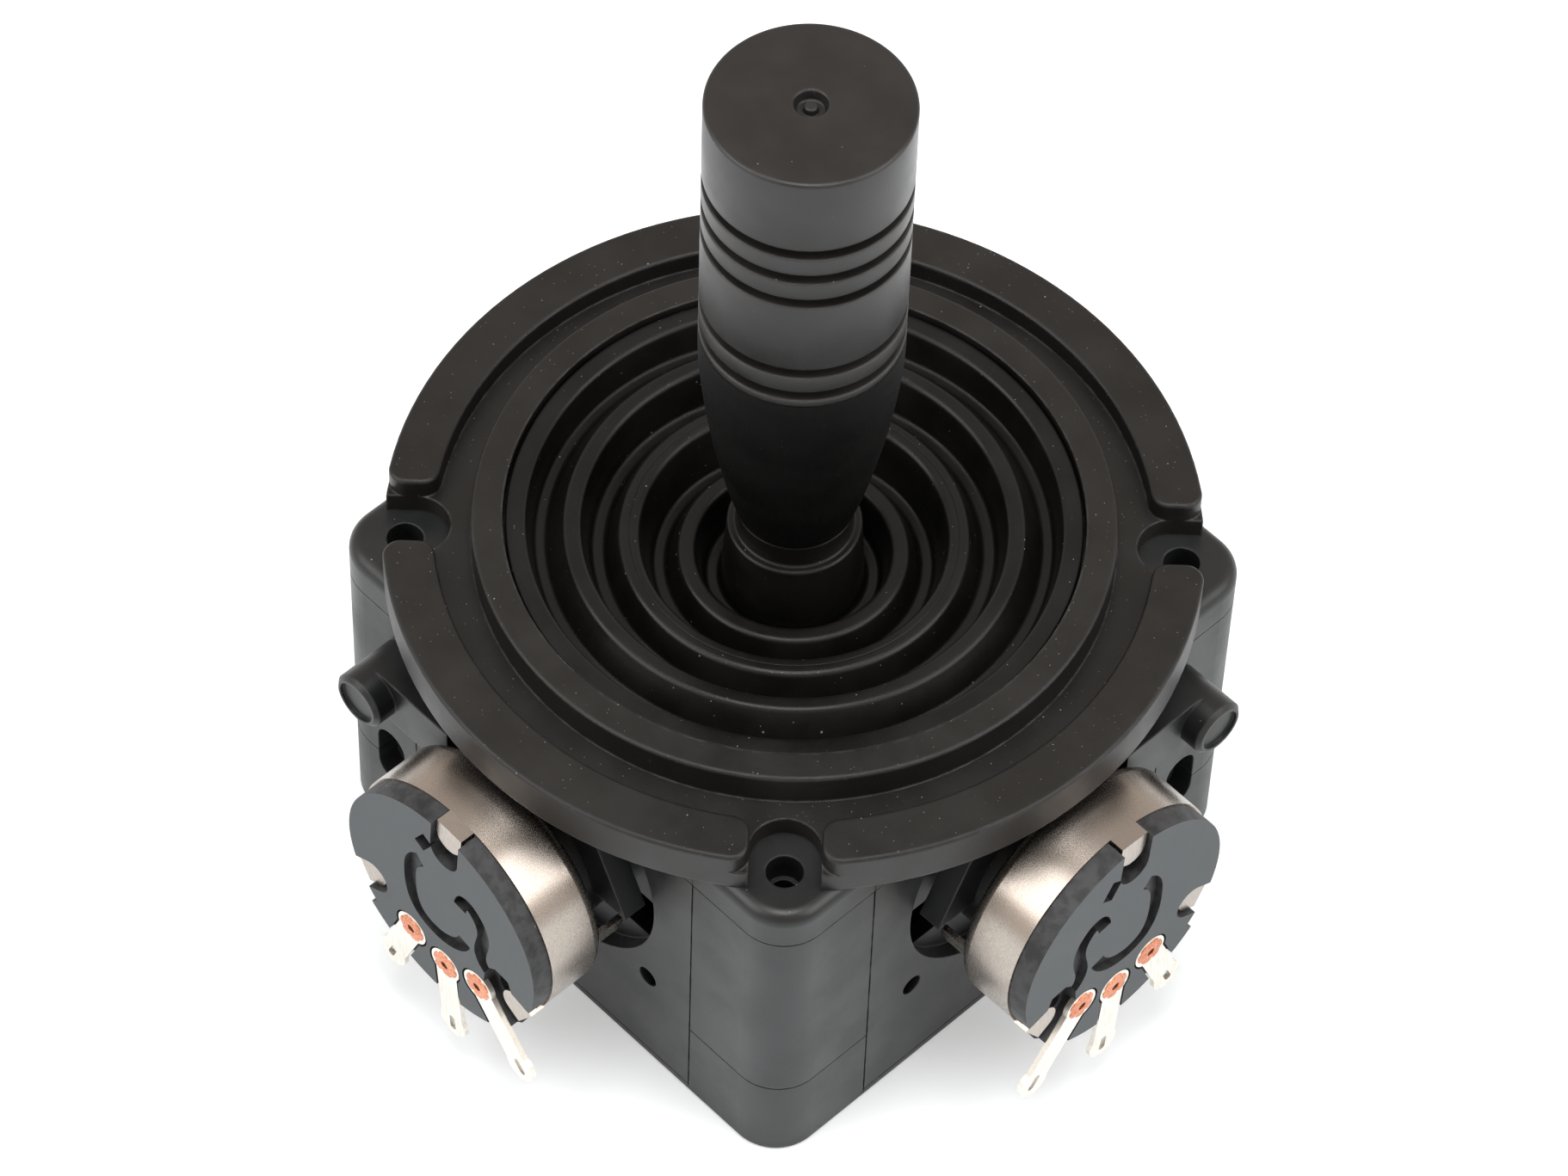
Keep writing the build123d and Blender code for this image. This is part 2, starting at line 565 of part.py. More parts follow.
with BuildPart() as boot:
    top_points = boot_outline()
    neck_radius = NECK_RADIUS + BOOT_CLEARANCE
    flange_outer = BOOT_FLANGE_RADIUS - BOOT_CLEARANCE
    under_points = []
    for radius, height in top_points[1:]:
        under_points.append((radius, height - BOOT_WALL))
    under_points[-1] = (BORE_RADIUS - BOOT_CLEARANCE, BOOT_VALLEY_TOPS[-1] - BOOT_WALL)
    with BuildSketch(Plane.XZ) as wall:
        with BuildLine():
            flange = [(flange_outer, BOOT_FLANGE_TOP), (flange_outer, LEDGE_HEIGHT)]
            flange += [(BORE_RADIUS - BOOT_CLEARANCE, LEDGE_HEIGHT)]
            inside = [(neck_radius, BOOT_VALLEY_TOPS[0] - BOOT_WALL), (neck_radius, BOOT_COLLAR_TOP)]
            Polyline(*top_points, *flange, *reversed(under_points), *inside, close=True)
        make_face()
        bends = wall.vertices().filter_by(lambda v: BOOT_COLLAR_RADIUS < v.X < BORE_RADIUS - BOOT_WALL)
        fillet(bends, radius=BOOT_FOLD_RADIUS)
    revolve(axis=Axis.Z)
save(boot, "boot")

# Handle: skirt with the neck, and the grooved knob
with BuildPart() as handle_skirt:
    with BuildSketch(Plane.XZ):
        with BuildLine():
            side = Spline(
                (HANDLE_RADIUS, HANDLE_SPLIT),
                (SKIRT_WAIST_RADIUS, SKIRT_WAIST),
                (SKIRT_FOOT_RADIUS, SKIRT_FOOT),
                tangents=((0, -1), (-SKIRT_FLARE, -1)),
            )
            Polyline(
                side @ 1,
                (NECK_RADIUS, SKIRT_FOOT),
                (NECK_RADIUS, NECK_FOOT),
                (HANDLE_BORE, NECK_FOOT),
                (HANDLE_BORE, HANDLE_SPLIT),
                side @ 0,
            )
        make_face()
    revolve(axis=Axis.Z)
save(handle_skirt, "handle_skirt")

with BuildPart() as knob:
    with BuildSketch(Plane.XY.offset(HANDLE_SPLIT)):
        Circle(HANDLE_RADIUS)
    extrude(amount=HANDLE_TOP - HANDLE_SPLIT)
    fillet(knob.edges().group_by(Axis.Z)[-1], radius=HANDLE_EDGE_RADIUS)
    with BuildSketch(Plane.XZ):
        for groove_height in GROOVE_HEIGHTS:
            with Locations((HANDLE_RADIUS, groove_height)):
                Ellipse(GROOVE_DEPTH, GROOVE_WIDTH / 2)
    revolve(axis=Axis.Z, mode=Mode.SUBTRACT)
    with BuildSketch(Plane.XY.offset(HANDLE_TOP)):
        Circle(TOP_PIT_RADIUS)
    extrude(amount=-TOP_PIT_DEPTH, mode=Mode.SUBTRACT)
    with BuildSketch(Plane.XY.offset(HANDLE_TOP - TOP_PIT_DEPTH)):
        Circle(TOP_NUB_RADIUS)
    extrude(amount=TOP_NUB_HEIGHT)
    with BuildSketch(Plane.XY.offset(HANDLE_SPLIT)):
        Circle(HANDLE_BORE)
    extrude(amount=SHAFT_TOP - HANDLE_SPLIT, mode=Mode.SUBTRACT)
save(knob, "knob")

# Lever: shaft above, hub on the cross pin, tail with its slider below
with BuildPart() as lever_shaft:
    with BuildSketch(PIVOT_PLANE.offset(SHAFT_SEAT)):
        Circle(SHAFT_RADIUS)
    extrude(amount=SHAFT_TOP + PIVOT_DEPTH - SHAFT_SEAT)
    chamfer(lever_shaft.edges().group_by(Axis.Z)[-1], length=SHAFT_CHAMFER)
save(lever_shaft, "lever_shaft")

with BuildPart() as lever_hub:
    with BuildSketch(AXIS_Y.offset(-HUB_LENGTH / 2)):
        Circle(HUB_RADIUS)
    extrude(amount=HUB_LENGTH)
    with BuildSketch(PIVOT_PLANE):
        Circle(HUB_SLEEVE_RADIUS)
    extrude(amount=HUB_SLEEVE_HEIGHT)
    with BuildSketch(PIVOT_PLANE.offset(SHAFT_SEAT)):
        Circle(SHAFT_RADIUS)
    extrude(amount=HUB_SLEEVE_HEIGHT, mode=Mode.SUBTRACT)
    with BuildSketch(PIVOT_PLANE.offset(-HUB_RADIUS)):
        Circle(TAIL_RADIUS)
    extrude(amount=HUB_RADIUS - SHAFT_SEAT, mode=Mode.SUBTRACT)
    with BuildSketch(AXIS_Y.offset(-HUB_LENGTH / 2)):
        Circle(CROSS_PIN_RADIUS + RUNNING_FIT)
    extrude(amount=HUB_LENGTH, mode=Mode.SUBTRACT)
save(lever_hub, "lever_hub")

with BuildPart() as lever_tail:
    with BuildSketch(PIVOT_PLANE.offset(-TAIL_END)):
        Circle(TAIL_RADIUS)
    extrude(amount=TAIL_END - SHAFT_SEAT)
save(lever_tail, "lever_tail")

with BuildPart() as tail_slider:
    with BuildSketch(PIVOT_PLANE.offset(-TAIL_END)):
        Circle(SLIDER_RADIUS)
        Circle(TAIL_RADIUS, mode=Mode.SUBTRACT)
    extrude(amount=SLIDER_LENGTH)
save(tail_slider, "tail_slider")


# Tilt frame: the cardan ring that turns about X with the right potentiometer
def spring_arm(axis_plane):
    """The collar and arm on a journal that carry the moving spring post."""
    with BuildSketch(axis_plane.offset(COLLAR_FACE - ARM_THICKNESS)) as outline:
        Circle(ARM_RADIUS)
        with Locations((0, -MOVING_POST_DEPTH / 2)):
            Rectangle(ARM_WIDTH, MOVING_POST_DEPTH)
        with Locations((0, -MOVING_POST_DEPTH)):
            Circle(ARM_WIDTH / 2)
    extrude(outline.sketch, amount=ARM_THICKNESS)
    with BuildSketch(axis_plane.offset(COLLAR_FACE - ARM_THICKNESS)) as outline:
        with Locations((0, -MOVING_POST_DEPTH)):
            Circle(POST_RADIUS)
    extrude(outline.sketch, amount=ARM_THICKNESS, mode=Mode.SUBTRACT)


def shaft_socket(face):
    """The socket in a journal that takes the potentiometer's shaft."""
    with BuildSketch(face.offset(JOURNAL_END - HALF)) as outline:
        Circle(SHAFT_RADIUS)
    extrude(outline.sketch, amount=-POT_SHAFT_INSERT, mode=Mode.SUBTRACT)


with BuildPart() as tilt_frame:
    with BuildSketch(PIVOT_PLANE.offset(-FRAME_HEIGHT / 2)):
        RectangleRounded(2 * FRAME_X, 2 * FRAME_Y, FRAME_WALL / 2)
    extrude(amount=FRAME_HEIGHT)
    with BuildSketch(AXIS_X.offset(-JOURNAL_END)):
        Circle(JOURNAL_RADIUS)
    extrude(amount=2 * JOURNAL_END)
    spring_arm(BACK_X)
    with BuildSketch(PIVOT_PLANE.offset(-JOURNAL_RADIUS)):
        Rectangle(FRAME_INSIDE_X, FRAME_INSIDE_Y)
    extrude(amount=2 * JOURNAL_RADIUS, mode=Mode.SUBTRACT)
    with BuildSketch(AXIS_Y.offset(-FRAME_Y)):
        Circle(CROSS_PIN_RADIUS)
    extrude(amount=2 * FRAME_Y, mode=Mode.SUBTRACT)
    shaft_socket(RIGHT_FACE)
save(tilt_frame, "tilt_frame")

with BuildPart() as cross_pin:
    with BuildSketch(AXIS_Y.offset(-PIN_HALF)):
        Circle(CROSS_PIN_RADIUS)
    extrude(amount=2 * PIN_HALF)
save(cross_pin, "cross_pin")

with BuildPart() as cross_pin_clips:
    for start in (-FRAME_Y - CLIP_THICKNESS, FRAME_Y):
        with BuildSketch(AXIS_Y.offset(start)):
            Circle(CLIP_RADIUS)
            Circle(CROSS_PIN_RADIUS, mode=Mode.SUBTRACT)
            with Locations((0, CLIP_RADIUS)):
                Rectangle(CLIP_MOUTH, 2 * CLIP_RADIUS, mode=Mode.SUBTRACT)
        extrude(amount=CLIP_THICKNESS)
save(cross_pin_clips, "cross_pin_clips")

# Bail: the slotted arc under the pivot that turns about Y with the left potentiometer
with BuildPart() as bail:
    side_view = Plane(origin=(-BAIL_HALF, 0, -PIVOT_DEPTH), x_dir=(0, 1, 0), z_dir=(1, 0, 0))
    with BuildSketch(side_view):
        Circle(BAIL_OUTER_RADIUS)
        Circle(BAIL_INNER_RADIUS, mode=Mode.SUBTRACT)
        with Locations((0, BAIL_OUTER_RADIUS)):
            Rectangle(2 * BAIL_OUTER_RADIUS, 2 * BAIL_OUTER_RADIUS, mode=Mode.SUBTRACT)
    extrude(amount=2 * BAIL_HALF)
    for side in (-1, 1):
        with BuildSketch(AXIS_Y.offset(side * BAIL_INNER_RADIUS)):
            Circle(BAIL_HALF)
        extrude(amount=side * BAIL_THICKNESS)
        with BuildSketch(AXIS_Y.offset(side * BAIL_INNER_RADIUS)):
            Circle(JOURNAL_RADIUS)
        extrude(amount=side * (JOURNAL_END - BAIL_INNER_RADIUS))
    spring_arm(AXIS_Y)
    swing = math.sin(math.radians(TILT_LIMIT)) * BAIL_OUTER_RADIUS
    slot_end = swing + SLIDER_RADIUS / math.cos(math.radians(TILT_LIMIT)) + SLOT_CLEARANCE
    with BuildSketch(PIVOT_PLANE.offset(-BAIL_OUTER_RADIUS)):
        Rectangle(2 * SLOT_HALF, 2 * slot_end)
    extrude(amount=BAIL_OUTER_RADIUS / 2, mode=Mode.SUBTRACT)
    shaft_socket(LEFT_FACE)
save(bail, "bail")


# Spring posts and return springs
def make_moving_post(axis_plane, label):
    """The pin on a yoke's arm that pushes one leg of the spring."""
    with BuildPart() as post:
        with BuildSketch(axis_plane.offset(COLLAR_FACE - ARM_THICKNESS)):
            with Locations((0, -MOVING_POST_DEPTH)):
                Circle(POST_RADIUS)
        extrude(amount=HALF - BEARING_BOSS_FACE - COLLAR_FACE + ARM_THICKNESS - POST_GAP)
    save(post, label)


make_moving_post(BACK_X, "tilt_frame_post")
make_moving_post(AXIS_Y, "bail_post")

with BuildPart() as spring_anchor_posts:
    for side_face in (REAR_LEFT_FACE, REAR_RIGHT_FACE):
        with BuildSketch(side_face.offset(-BODY_WALL / 2)):
            with Locations((0, -FIXED_POST_DEPTH)):
                Circle(POST_RADIUS)
        extrude(amount=-(HALF - BODY_WALL / 2 - COLLAR_FACE - POST_GAP))
save(spring_anchor_posts, "spring_anchor_posts")


def make_spring(axis_plane, label):
    """A torsion spring round a journal, its two legs straddling both posts."""
    coil_radius = SPRING_INNER_RADIUS + WIRE_RADIUS
    leg_side = POST_RADIUS + WIRE_RADIUS + 2 * RUNNING_FIT
    leg_angle = math.degrees(math.asin(leg_side / coil_radius))
    leg_start = math.cos(math.radians(leg_angle)) * coil_radius
    turns = SPRING_TURNS + 2 * leg_angle / 360
    coil_height = turns * SPRING_PITCH
    zone_middle = (COLLAR_FACE + HALF - BEARING_BOSS_FACE) / 2
    base = zone_middle - coil_height / 2
    coil_place = axis_plane.offset(base).location * Rot(0, 0, -90 - leg_angle)
    coil = coil_place * Helix(pitch=SPRING_PITCH, height=coil_height, radius=coil_radius)
    with BuildPart() as spring:
        with BuildSketch(Plane(origin=coil @ 0, z_dir=coil % 0)):
            Circle(WIRE_RADIUS)
        sweep(path=coil, is_frenet=True)
        for side, height in ((-1, base), (1, base + coil_height)):
            leg_plane = axis_plane.offset(height)
            start = leg_plane.from_local_coords((side * leg_side, -leg_start + WIRE_RADIUS, 0))
            with BuildSketch(Plane(origin=start, z_dir=(0, 0, -1))):
                Circle(WIRE_RADIUS)
            extrude(amount=LEG_LENGTH - leg_start + WIRE_RADIUS)
    save(spring, label)


make_spring(BACK_X, "tilt_spring")
make_spring(AXIS_Y, "swing_spring")


# Potentiometers
def ray(radius, angle):
    """A point on the potentiometer's face at a radius and an angle in degrees."""
    return (radius * math.cos(math.radians(angle)), radius * math.sin(math.radians(angle)))


def lug_line(angle, lean, length):
    """A lug's eye and tip: the tip lies along the lean from the eye."""
    eye_x, eye_y = ray(LUG_RADIUS, angle)
    run_x, run_y = ray(length, lean)
    return [(eye_x, eye_y), (eye_x + run_x, eye_y + run_y)]


def mirrored(hand, points):
    """The same points on the left or the right potentiometer."""
    return [(hand * x, y) for x, y in points]


def notch_turns(hand):
    """Where the three notches stand: the top one is the same on both hands."""
    sides = [angle if hand > 0 else 180 - angle for angle in SIDE_NOTCH_ANGLES]
    return (TOP_NOTCH_ANGLE, *sides)


def cover_foot(hand):
    """The wedge that holds the cover's wider foot, below the lugs."""
    reach = 2 * POT_RADIUS
    return mirrored(hand, [(0, 0)] + [ray(reach, angle) for angle in COVER_FOOT_ANGLES])


def make_can(face, hand, label):
    """The drawn steel can, with three tabs that fold over the cover's notches."""
    with BuildPart() as can:
        with BuildSketch(face.offset(POT_SEAT)):
            Circle(POT_RADIUS)
        extrude(amount=POT_CAN_DEPTH)
        front = can.edges().filter_by(GeomType.CIRCLE).sort_by(lambda e: face_height(face, e))[0]
        fillet(front, radius=POT_CAN_EDGE)
        with BuildSketch(face.offset(POT_SEAT + POT_CAN_WALL)):
            Circle(POT_RADIUS - POT_CAN_WALL)
        extrude(amount=POT_CAN_DEPTH, mode=Mode.SUBTRACT)
        with BuildSketch(face.offset(POT_SEAT)):
            Circle(POT_BUSHING_RADIUS)
        extrude(amount=POT_CAN_WALL, mode=Mode.SUBTRACT)
        for turn in notch_turns(hand):
            with BuildSketch(face.offset(COVER_BASE)):
                with Locations(Rot(0, 0, turn) * Pos(POT_RADIUS - POT_CAN_WALL, 0)):
                    Rectangle(POT_CAN_WALL, TAB_WIDTH, align=(Align.MIN, Align.CENTER))
            extrude(amount=TAB_REACH)
            with BuildSketch(face.offset(COVER_BASE + TAB_REACH)):
                with Locations(Rot(0, 0, turn) * Pos(POT_RADIUS, 0)):
                    SlotOverall(2 * TAB_FOLD, TAB_WIDTH)
                Circle(POT_RADIUS, mode=Mode.INTERSECT)
            extrude(amount=-TAB_THICKNESS)
        turn = KEY_ANGLE if hand > 0 else 180 - KEY_ANGLE
        with BuildSketch(face.offset(POT_SEAT)):
            with Locations(Rot(0, 0, turn) * Pos(POT_RADIUS - KEY_INSET, 0)):
                Rectangle(POT_CAN_WALL, KEY_WIDTH)
        extrude(amount=-KEY_LENGTH)
    save(can, label)


def face_height(face, edge):
    """How far an edge lies out from a side face."""
    return face.to_local_coords(edge.center(CenterOf.BOUNDING_BOX)).Z


def make_cover(face, hand, label):
    """The phenolic cover: notches, grooves, pocket, pit and the three lug seats."""
    with BuildPart() as cover:
        with BuildSketch(face.offset(COVER_BASE)):
            Circle(POT_RADIUS + COVER_FOOT_REACH)
            with BuildLine():
                Polyline(*cover_foot(hand), close=True)
            make_face(mode=Mode.INTERSECT)
            Circle(POT_RADIUS - COVER_STEP)
            for turn, depth in zip(notch_turns(hand), NOTCH_DEPTHS):
                with Locations(Rot(0, 0, turn) * Pos(POT_RADIUS, 0)):
                    SlotOverall(2 * depth, TAB_WIDTH + 2 * TAB_CLEARANCE, mode=Mode.SUBTRACT)
        extrude(amount=POT_COVER_THICKNESS)
        with BuildSketch(face.offset(COVER_TOP)):
            for angle, lean, length in zip(LUG_ANGLES, LUG_LEANS, LUG_LENGTHS):
                eye, tip = mirrored(hand, lug_line(angle, lean, length))
                with Locations(eye):
                    Circle(LUG_EYE_RADIUS + LUG_SEAT_GAP)
                with BuildLine():
                    seat_line = Line(eye, tip)
                trace(seat_line, line_width=LUG_WIDTH + 2 * LUG_SEAT_GAP)
        extrude(amount=-LUG_SEAT_DEPTH, mode=Mode.SUBTRACT)
        with BuildSketch(face.offset(COVER_TOP)):
            with BuildLine():
                inner_line = Spline(*mirrored(hand, INNER_GROOVE))
            trace(inner_line, line_width=COVER_GROOVE_WIDTH)
        extrude(amount=-COVER_GROOVE_DEPTH, mode=Mode.SUBTRACT)
        with BuildSketch(face.offset(COVER_TOP)):
            with BuildLine():
                outer_line = Spline(*mirrored(hand, OUTER_GROOVE))
            trace(outer_line, line_width=COVER_GROOVE_WIDTH)
        extrude(amount=-COVER_GROOVE_DEPTH, mode=Mode.SUBTRACT)
        with BuildSketch(face.offset(COVER_TOP)):
            with Locations(COVER_PIT):
                Rectangle(COVER_PIT_WIDTH, COVER_PIT_HEIGHT, rotation=COVER_PIT_TURN)
            with BuildLine():
                Polyline(*mirrored(hand, COVER_POCKET), close=True)
            make_face()
        extrude(amount=-COVER_POCKET_DEPTH, mode=Mode.SUBTRACT)
    save(cover, label)


def make_lugs(face, hand, label):
    """Three tinned solder lugs that lie in the cover's seats and reach past its edge."""
    with BuildPart() as lugs:
        for angle, lean, length in zip(LUG_ANGLES, LUG_LEANS, LUG_LENGTHS):
            eye, tip = mirrored(hand, lug_line(angle, lean, length))
            with BuildSketch(face.offset(COVER_TOP - LUG_SEAT_DEPTH)):
                with BuildLine():
                    stem = Line(eye, tip)
                trace(stem, line_width=LUG_WIDTH)
                with Locations(eye):
                    Circle(LUG_EYE_RADIUS)
                with Locations(tip):
                    Circle(LUG_END_RADIUS)
                    turn = lean if hand > 0 else 180 - lean
                    SlotOverall(LUG_HOLE_LENGTH, LUG_HOLE_WIDTH, rotation=turn, mode=Mode.SUBTRACT)
                with Locations(eye):
                    Circle(RIVET_SHANK_RADIUS, mode=Mode.SUBTRACT)
            extrude(amount=LUG_THICKNESS)
    save(lugs, label)


def make_rivets(face, hand, label):
    """Copper eyelets that hold the lugs to the cover and reach the track."""
    with BuildPart() as rivets:
        eyes = mirrored(hand, [ray(LUG_RADIUS, angle) for angle in LUG_ANGLES])
        top = COVER_TOP - LUG_SEAT_DEPTH + LUG_THICKNESS
        with BuildSketch(face.offset(top)):
            with Locations(*eyes):
                Circle(RIVET_RADIUS)
        extrude(amount=RIVET_HEIGHT)
        with BuildSketch(face.offset(top)):
            with Locations(*eyes):
                Circle(RIVET_SHANK_RADIUS)
        extrude(amount=-LUG_THICKNESS)
        with BuildSketch(face.offset(top + RIVET_HEIGHT)):
            with Locations(*eyes):
                Circle(RIVET_BORE_RADIUS)
        extrude(amount=-RIVET_HEIGHT, mode=Mode.SUBTRACT)
    save(rivets, label)


def make_bushing(face, label):
    """The threaded neck of the potentiometer, staked in the can."""
    with BuildPart() as bushing:
        with BuildSketch(face.offset(-POT_BUSHING_END)):
            Circle(POT_BUSHING_RADIUS)
        extrude(amount=POT_BUSHING_END + POT_SEAT + POT_CAN_WALL)
        with BuildSketch(face.offset(POT_SEAT + POT_CAN_WALL)):
            Circle(POT_FLANGE_RADIUS)
        extrude(amount=POT_FLANGE_THICKNESS)
        with BuildSketch(face.offset(-POT_BUSHING_END)):
            Circle(SHAFT_RADIUS + RUNNING_FIT)
        extrude(amount=POT_CAN_DEPTH + POT_SEAT, mode=Mode.SUBTRACT)
    save(bushing, label)


def make_track(face, label):
    """The resistive ring behind the cover."""
    with BuildPart() as track:
        with BuildSketch(face.offset(TRACK_BASE)):
            Circle(POT_RADIUS - POT_TRACK_INSET)
            Circle(SHAFT_RADIUS, mode=Mode.SUBTRACT)
        extrude(amount=POT_TRACK_THICKNESS)
    save(track, label)


def make_rotor(face, label):
    """The moulded disc that carries the wiper."""
    with BuildPart() as rotor:
        with BuildSketch(face.offset(ROTOR_BASE)):
            Circle(POT_ROTOR_RADIUS)
            Circle(SHAFT_RADIUS, mode=Mode.SUBTRACT)
        extrude(amount=POT_ROTOR_THICKNESS)
    save(rotor, label)


def make_wiper(face, label):
    """The sprung finger that runs on the track."""
    with BuildPart() as wiper:
        with BuildSketch(face.offset(ROTOR_TOP)):
            with Locations((0, (SHAFT_RADIUS + POT_ROTOR_RADIUS) / 2)):
                Rectangle(WIPER_WIDTH, POT_ROTOR_RADIUS - SHAFT_RADIUS)
        extrude(amount=WIPER_THICKNESS)
        with BuildSketch(face.offset(ROTOR_TOP)):
            with Locations((0, POT_ROTOR_RADIUS - WIPER_TIP_RADIUS)):
                Circle(WIPER_TIP_RADIUS)
        extrude(amount=TRACK_BASE - ROTOR_TOP - RUNNING_FIT)
    save(wiper, label)


def make_pot_shaft(face, label):
    """The potentiometer's shaft, from its rotor into the yoke's journal."""
    with BuildPart() as shaft:
        start = JOURNAL_END - POT_SHAFT_INSERT - HALF
        with BuildSketch(face.offset(start)):
            Circle(SHAFT_RADIUS)
        extrude(amount=ROTOR_TOP - start)
    save(shaft, label)


for pot_face, pot_hand, pot_name in ((LEFT_FACE, 1, "left_pot"), (RIGHT_FACE, -1, "right_pot")):
    make_can(pot_face, pot_hand, f"{pot_name}_can")
    make_cover(pot_face, pot_hand, f"{pot_name}_cover")
    make_lugs(pot_face, pot_hand, f"{pot_name}_lugs")
    make_rivets(pot_face, pot_hand, f"{pot_name}_rivets")
    make_bushing(pot_face, f"{pot_name}_bushing")
    make_track(pot_face, f"{pot_name}_track")
    make_rotor(pot_face, f"{pot_name}_rotor")
    make_wiper(pot_face, f"{pot_name}_wiper")
    make_pot_shaft(pot_face, f"{pot_name}_shaft")
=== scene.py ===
import json
import math
import bmesh
import bpy
import numpy as np
from mathutils import Matrix, Vector


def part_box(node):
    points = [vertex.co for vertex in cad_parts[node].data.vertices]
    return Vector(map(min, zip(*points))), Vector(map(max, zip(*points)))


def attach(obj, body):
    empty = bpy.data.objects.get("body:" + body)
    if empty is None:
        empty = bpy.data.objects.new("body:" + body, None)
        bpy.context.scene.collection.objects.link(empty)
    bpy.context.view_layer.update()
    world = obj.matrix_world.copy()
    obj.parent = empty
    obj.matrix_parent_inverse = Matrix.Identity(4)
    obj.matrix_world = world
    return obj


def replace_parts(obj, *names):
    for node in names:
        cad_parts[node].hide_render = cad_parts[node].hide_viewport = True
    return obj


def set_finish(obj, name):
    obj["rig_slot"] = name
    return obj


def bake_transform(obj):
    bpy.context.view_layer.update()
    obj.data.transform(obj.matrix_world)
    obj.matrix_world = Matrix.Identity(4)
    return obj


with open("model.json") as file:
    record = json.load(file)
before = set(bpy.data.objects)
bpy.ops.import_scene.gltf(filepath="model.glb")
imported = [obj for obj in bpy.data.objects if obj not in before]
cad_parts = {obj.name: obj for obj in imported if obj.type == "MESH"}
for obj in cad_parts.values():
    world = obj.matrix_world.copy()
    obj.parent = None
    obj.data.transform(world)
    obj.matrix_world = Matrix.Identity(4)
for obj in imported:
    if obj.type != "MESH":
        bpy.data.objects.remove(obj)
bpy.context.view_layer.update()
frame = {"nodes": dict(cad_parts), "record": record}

# Lengths are in millimetres, times MM, in the joystick's own frame: Z up, the origin in
# the middle of the four panel screw holes, the potentiometers on -Y (left) and +X (right).
# The camera's place, the studio, the grains, the specks and MERGE_DISTANCE are in metres.
MM = 0.001

# Meshes
ROUND_STEPS = 192
SHARP_ANGLE = math.radians(40)
MERGE_DISTANCE = 1e-7

# Camera, as it stood for the photograph
CAMERA_PLACE = (0.24025, -0.24504, 0.45575)
CAMERA_AZIMUTH = math.radians(44.55)
CAMERA_ELEVATION = math.radians(53.35)
CAMERA_ROLL = math.radians(2.183)
CAMERA_LENS = 151.45
SENSOR_WIDTH = 36.0

# Knob and skirt
HANDLE_RADIUS = 8.65
KNOB_TOP = 59.0
KNOB_FOOT = 31.0
KNOB_EDGE = 0.35
GROOVE_HEIGHTS = (50.4, 47.35, 44.3, 35.25, 32.35)
GROOVE_WIDTH = 1.15
GROOVE_DEPTH = 0.95
GROOVE_FLOOR_SHARE = 0.75
GROOVE_LIP = 0.13
PIT_RADIUS = 1.45
PIT_FLOOR_RADIUS = 1.16
PIT_DEPTH = 0.9
PIT_EDGE = 0.15
NUB_FOOT_RADIUS = 0.609
NUB_TOP_RADIUS = 0.522
NUB_HEIGHT = 0.63
SHAFT_BORE = 3.06
SHAFT_BORE_TOP = 50.0
NECK_RADIUS = 4.95
NECK_FOOT = -3.0
SKIRT_SHOULDER = 0.3
SKIRT_TOP_STEP = 0.15
SKIRT_SIDE = ((8.65, 30.9), (8.66, 29.4), (8.5, 25.8), (7.66, 18.8), (6.3, 11.6), (5.2, 7.3))
SKIRT_FOOT_RADIUS, SKIRT_FOOT = SKIRT_SIDE[-1]

# Boot: the folds are corners (radius, height, rounding) from the sleeve out to the bezel
BOOT_WALL = 0.45
BOOT_SPLIT_RADIUS = 14.25
BOOT_FOLDS = (
    (5.12, 6.95, 0.0), (5.08, 4.5, 0.25), (5.85, 4.5, 0.3), (6.3, -3.5, 0.45), (7.6, -3.5, 0.45),
    (8.5, 0.4, 0.6), (10.0, 0.4, 0.6), (11.05, -2.0, 0.45), (12.15, -2.0, 0.45),
    (13.4, 2.6, 0.65), (15.1, 2.6, 0.65), (16.3, 0.1, 0.5), (17.5, 0.1, 0.5),
    (18.4, 4.0, 0.6), (19.8, 4.0, 0.6), (21.4, 1.5, 0.5), (22.4, 1.5, 0.4),
    (23.15, 4.55, 0.5), (24.9, 4.55, 0.2), (24.9, 3.35, 0.1),
)

# Eyelets that clinch the solder lugs, about each potentiometer's axis
SIDE_FACE = 28.5
PIVOT_HEIGHT = -13.6
EYELET_CIRCLE = 8.5
EYELET_ANGLES = (-118.0, -88.0, -58.0)
EYELET_RADIUS = 1.45
EYELET_BORE = 0.4
EYELET_FOOT = 12.7
EYELET_TOP = 13.0
EYELET_FLARE_START = 0.62
EYELET_FLARE_END = 1.05
EYELET_STEPS = 96
EYELET_PETALS = 6
CREASE_WIDTH = 0.16
CREASE_START = 0.6
CREASE_REACH = 0.22
CREASE_DEPTH = 0.11
FIRST_TURN = 0.4
TURN_STEP = 0.9

# Seams, covers and finishes
SEAM_PLACE = 17.64
FACE_DEPTH = 0.1
COVER_FACE = 12.8
SUNK_START = 0.3
SUNK_END = 0.6
SOFT_EDGE = 0.22
GRAIN_SIZE = 0.00022
GRAIN_DEPTH = 0.00001
GLOSS_SPREAD = 0.12
METAL_GRAIN = 0.0001
SLATE = (0.041, 0.0475, 0.052, 1)
SLATE_PALE = (0.064, 0.072, 0.077, 1)
FIBRE = (0.012, 0.0125, 0.014, 1)
FIBRE_PALE = (0.04, 0.04, 0.042, 1)
DUST_GREY = (0.22, 0.21, 0.19, 1)
DUST_BROWN = (0.26, 0.24, 0.215, 1)
DUST_PALE = (0.3, 0.31, 0.32, 1)
# Each size of speck: how much finer its cells are, and the largest speck as a share of a cell
DUST_SIZES = ((1.0, 0.045), (2.7, 0.07))

